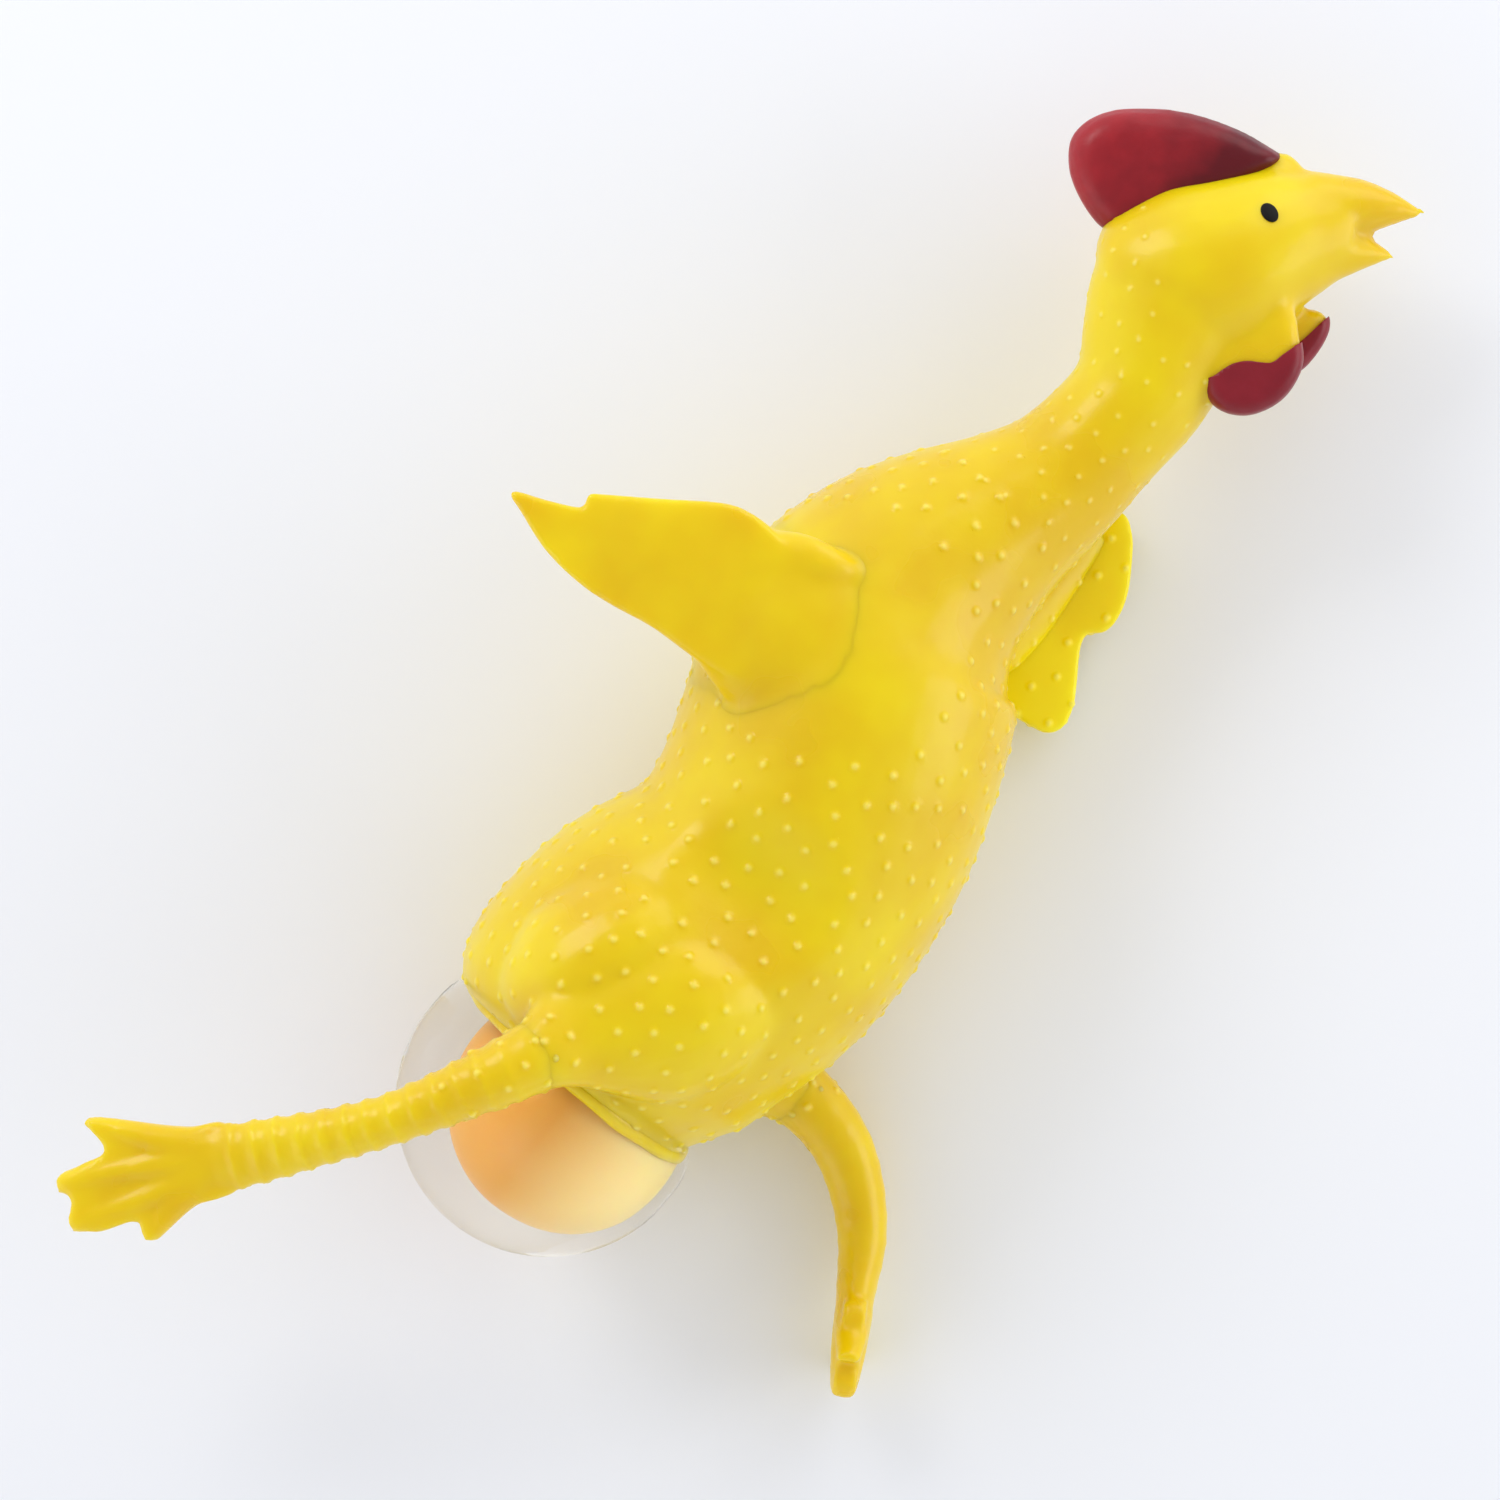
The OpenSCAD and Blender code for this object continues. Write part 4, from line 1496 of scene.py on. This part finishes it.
@dataclass
class Egg:
    """The clear bag that bulges from the vent, its yolk and the rim that it comes through."""

    radius: float = 16.2
    middle_x: float = -45.5
    fold: tuple[tuple[float, float], ...] = (
        (-43.6, 16.1), (-41.8, 15.7), (-40.4, 15.0), (-39.4, 14.2), (-38.8, 13.0), (-38.6, 11.0), (-38.6, 8.0))
    vent_x: float = -41.0
    rim_x: float = -41.7
    rim_radii: Point2 = (12.3, 0.95)
    rim_ripples: tuple[tuple[float, int, float], ...] = ((0.08, 5, 0.6), (0.05, 11, 0.0))
    yolk_radius: float = 11.2
    yolk_middle: tuple[float, float, float] = (-44.8, -1.4, 16.2)
    sides: int = 96

    def bag_rows(self) -> list[Row]:
        """Round sections of the bag from its tip to the vent.

        Returns:
            Sections for a soft tube.
        """
        centre = (VENT_AXIS_Y, VENT_AXIS_Z)
        rows = []
        for degree in (179.4, 178, 175, 171, 166, 160, 153, 145, 137, 129, 121, 113, 105, 97):
            angle = math.radians(degree)
            rows.append((self.middle_x + self.radius * math.cos(angle), *centre, *[self.radius * math.sin(angle)] * 2))
        rows += [(x, *centre, r, r) for x, r in self.fold]
        return rows

    def bag(self) -> bpy.types.Object:
        """The filled bag as one closed ball with a short neck.

        Returns:
            The bag.
        """
        return soft_tube("egg_bag", self.bag_rows(), steps=2, sides=self.sides, straight=True)

    def yolk(self) -> bpy.types.Object:
        """The yolk, a gel ball that its own weight flattens a little.

        Returns:
            The yolk.
        """
        ball = primitive(
            "yolk_ball", bpy.ops.mesh.primitive_uv_sphere_add, segments=72, ring_count=48,
            radius=self.yolk_radius, location=self.yolk_middle)
        bpy.ops.object.transform_apply(location=True, rotation=False, scale=False)
        x, y, z = self.yolk_middle
        pull(ball, (x + self.yolk_radius, y, z), 12, (-1.2, 0, 0))
        pull(ball, (x - 5, y - 6, z - 5), 9, (-0.3, -0.4, -0.2))
        return ball

    def rim(self) -> bpy.types.Object:
        """The soft rolled rim of the vent.

        Returns:
            The rim.
        """
        rim = primitive(
            "vent_rim", bpy.ops.mesh.primitive_torus_add, major_segments=120, minor_segments=20,
            major_radius=self.rim_radii[0], minor_radius=self.rim_radii[1],
            location=(self.rim_x, VENT_AXIS_Y, VENT_AXIS_Z), rotation=(0, math.pi / 2, 0))
        bpy.ops.object.transform_apply(location=True, rotation=True, scale=False)
        places = coordinates(rim)
        angle = np.arctan2(places[:, 2] - VENT_AXIS_Z, places[:, 1] - VENT_AXIS_Y)
        places[:, 0] += sum(height * np.sin(waves * angle + start) for height, waves, start in self.rim_ripples)
        move_vertices(rim, places)
        return rim

    def build(self, finishes: Finishes) -> None:
        """Builds the egg and the rim.

        Args:
            finishes: The toy's materials.
        """
        rim = self.rim()
        finish_piece(rim, finishes.rubber)
        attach(rim, "torso")
        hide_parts("vent_lip")
        yolk = self.yolk()
        finish_piece(yolk, finishes.yolk)
        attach(yolk, "egg")
        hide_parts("yolk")
        bag = self.bag()
        finish_piece(bag, finishes.bag)
        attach(bag, "torso")
        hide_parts("egg_membrane", "egg_white")
        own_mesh(bag)
        dress(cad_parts["membrane_collar"], finishes.film)


# ---------------------------------------------------------------- stage


@dataclass
class Stage:
    """Plain floor, soft light and the camera straight over the toy."""

    view_middle: tuple[float, float, float] = (-3.3, 8.2, 20.0)
    view_width: float = 157.5
    lens: float = 180.0
    sensor: float = 36.0
    floor_size: float = 6000.0
    horizon_light: float = 1.54
    zenith_light: float = 0.45
    softboxes: tuple[tuple[str, Row, float, float], ...] = (
        ("key_softbox", (120, 560, 420), 300, 1.2),
        ("head_softbox", (560, 60, 260), 400, 0.7),
        ("belly_softbox", (420, -500, 240), 400, 1.0),
        ("tail_softbox", (-520, 200, 240), 400, 0.35))

    def floor(self) -> None:
        """A pale seamless floor."""
        floor = primitive("floor", bpy.ops.mesh.primitive_plane_add, size=self.floor_size * MM)
        floor.data.materials.append(MattFloor("pale_floor").build())

    def lamp(self, name: str, spot: Row, size: float, power: float) -> None:
        """A square softbox that faces the toy.

        Args:
            name: Name of the lamp.
            spot: Its place.
            size: Edge of its square.
            power: Its power in watts.
        """
        data = bpy.data.lights.new(name, "AREA")
        data.shape = "SQUARE"
        data.size = size * MM
        data.energy = power
        lamp = bpy.data.objects.new(name, data)
        bpy.context.scene.collection.objects.link(lamp)
        lamp.location = Vector(spot) * MM
        aim = Vector(self.view_middle) * MM - lamp.location
        lamp.rotation_euler = aim.to_track_quat("-Z", "Y").to_euler()

    def lights(self) -> None:
        """Soft light from all round, with a key lamp behind the toy's back."""
        world = bpy.data.worlds.new("studio")
        bpy.context.scene.world = world
        world.use_nodes = True
        tree = world.node_tree
        tree.nodes.clear()
        where = add_node(tree, "ShaderNodeTexCoord").outputs["Generated"]
        height = add_node(tree, "ShaderNodeSeparateXYZ", {"Vector": where}).outputs["Z"]
        strength = ramp(tree, height, 0.0, 1.0, self.horizon_light, self.zenith_light)
        sky = add_node(tree, "ShaderNodeBackground", {"Color": colour("#F6F7F9"), "Strength": strength})
        add_node(tree, "ShaderNodeOutputWorld", {"Surface": sky.outputs["Background"]})
        for softbox in self.softboxes:
            self.lamp(*softbox)

    def camera(self) -> None:
        """A long lens straight above, turned so that the beak points to the right."""
        data = bpy.data.cameras.new("camera")
        data.lens = self.lens
        data.sensor_width = self.sensor
        camera = bpy.data.objects.new("camera", data)
        bpy.context.scene.collection.objects.link(camera)
        x, y, z = self.view_middle
        height = self.view_width * self.lens / self.sensor
        camera.location = Vector((x, y, z + height)) * MM
        camera.rotation_euler = (0, 0, math.radians(HEAD_TURN))
        bpy.context.scene.camera = camera

    def build(self) -> None:
        """Sets the stage."""
        self.camera()
        self.floor()
        self.lights()
        bpy.context.scene.view_settings.view_transform = "Standard"


def main() -> None:
    """Builds the toy round its frame."""
    logging.basicConfig(level=logging.INFO, format="%(name)s: %(message)s")
    Stage().build()
    finishes = mix_finishes()
    skin = Skin().build(finishes)
    FacePaint().build(finishes, skin)
    for part in (RIGHT_LEG, LEFT_LEG, RIGHT_WING, LEFT_WING):
        part.build(finishes)
    Egg().build(finishes)
    log.info("sizes written")


if __name__ == "__main__":
    main()
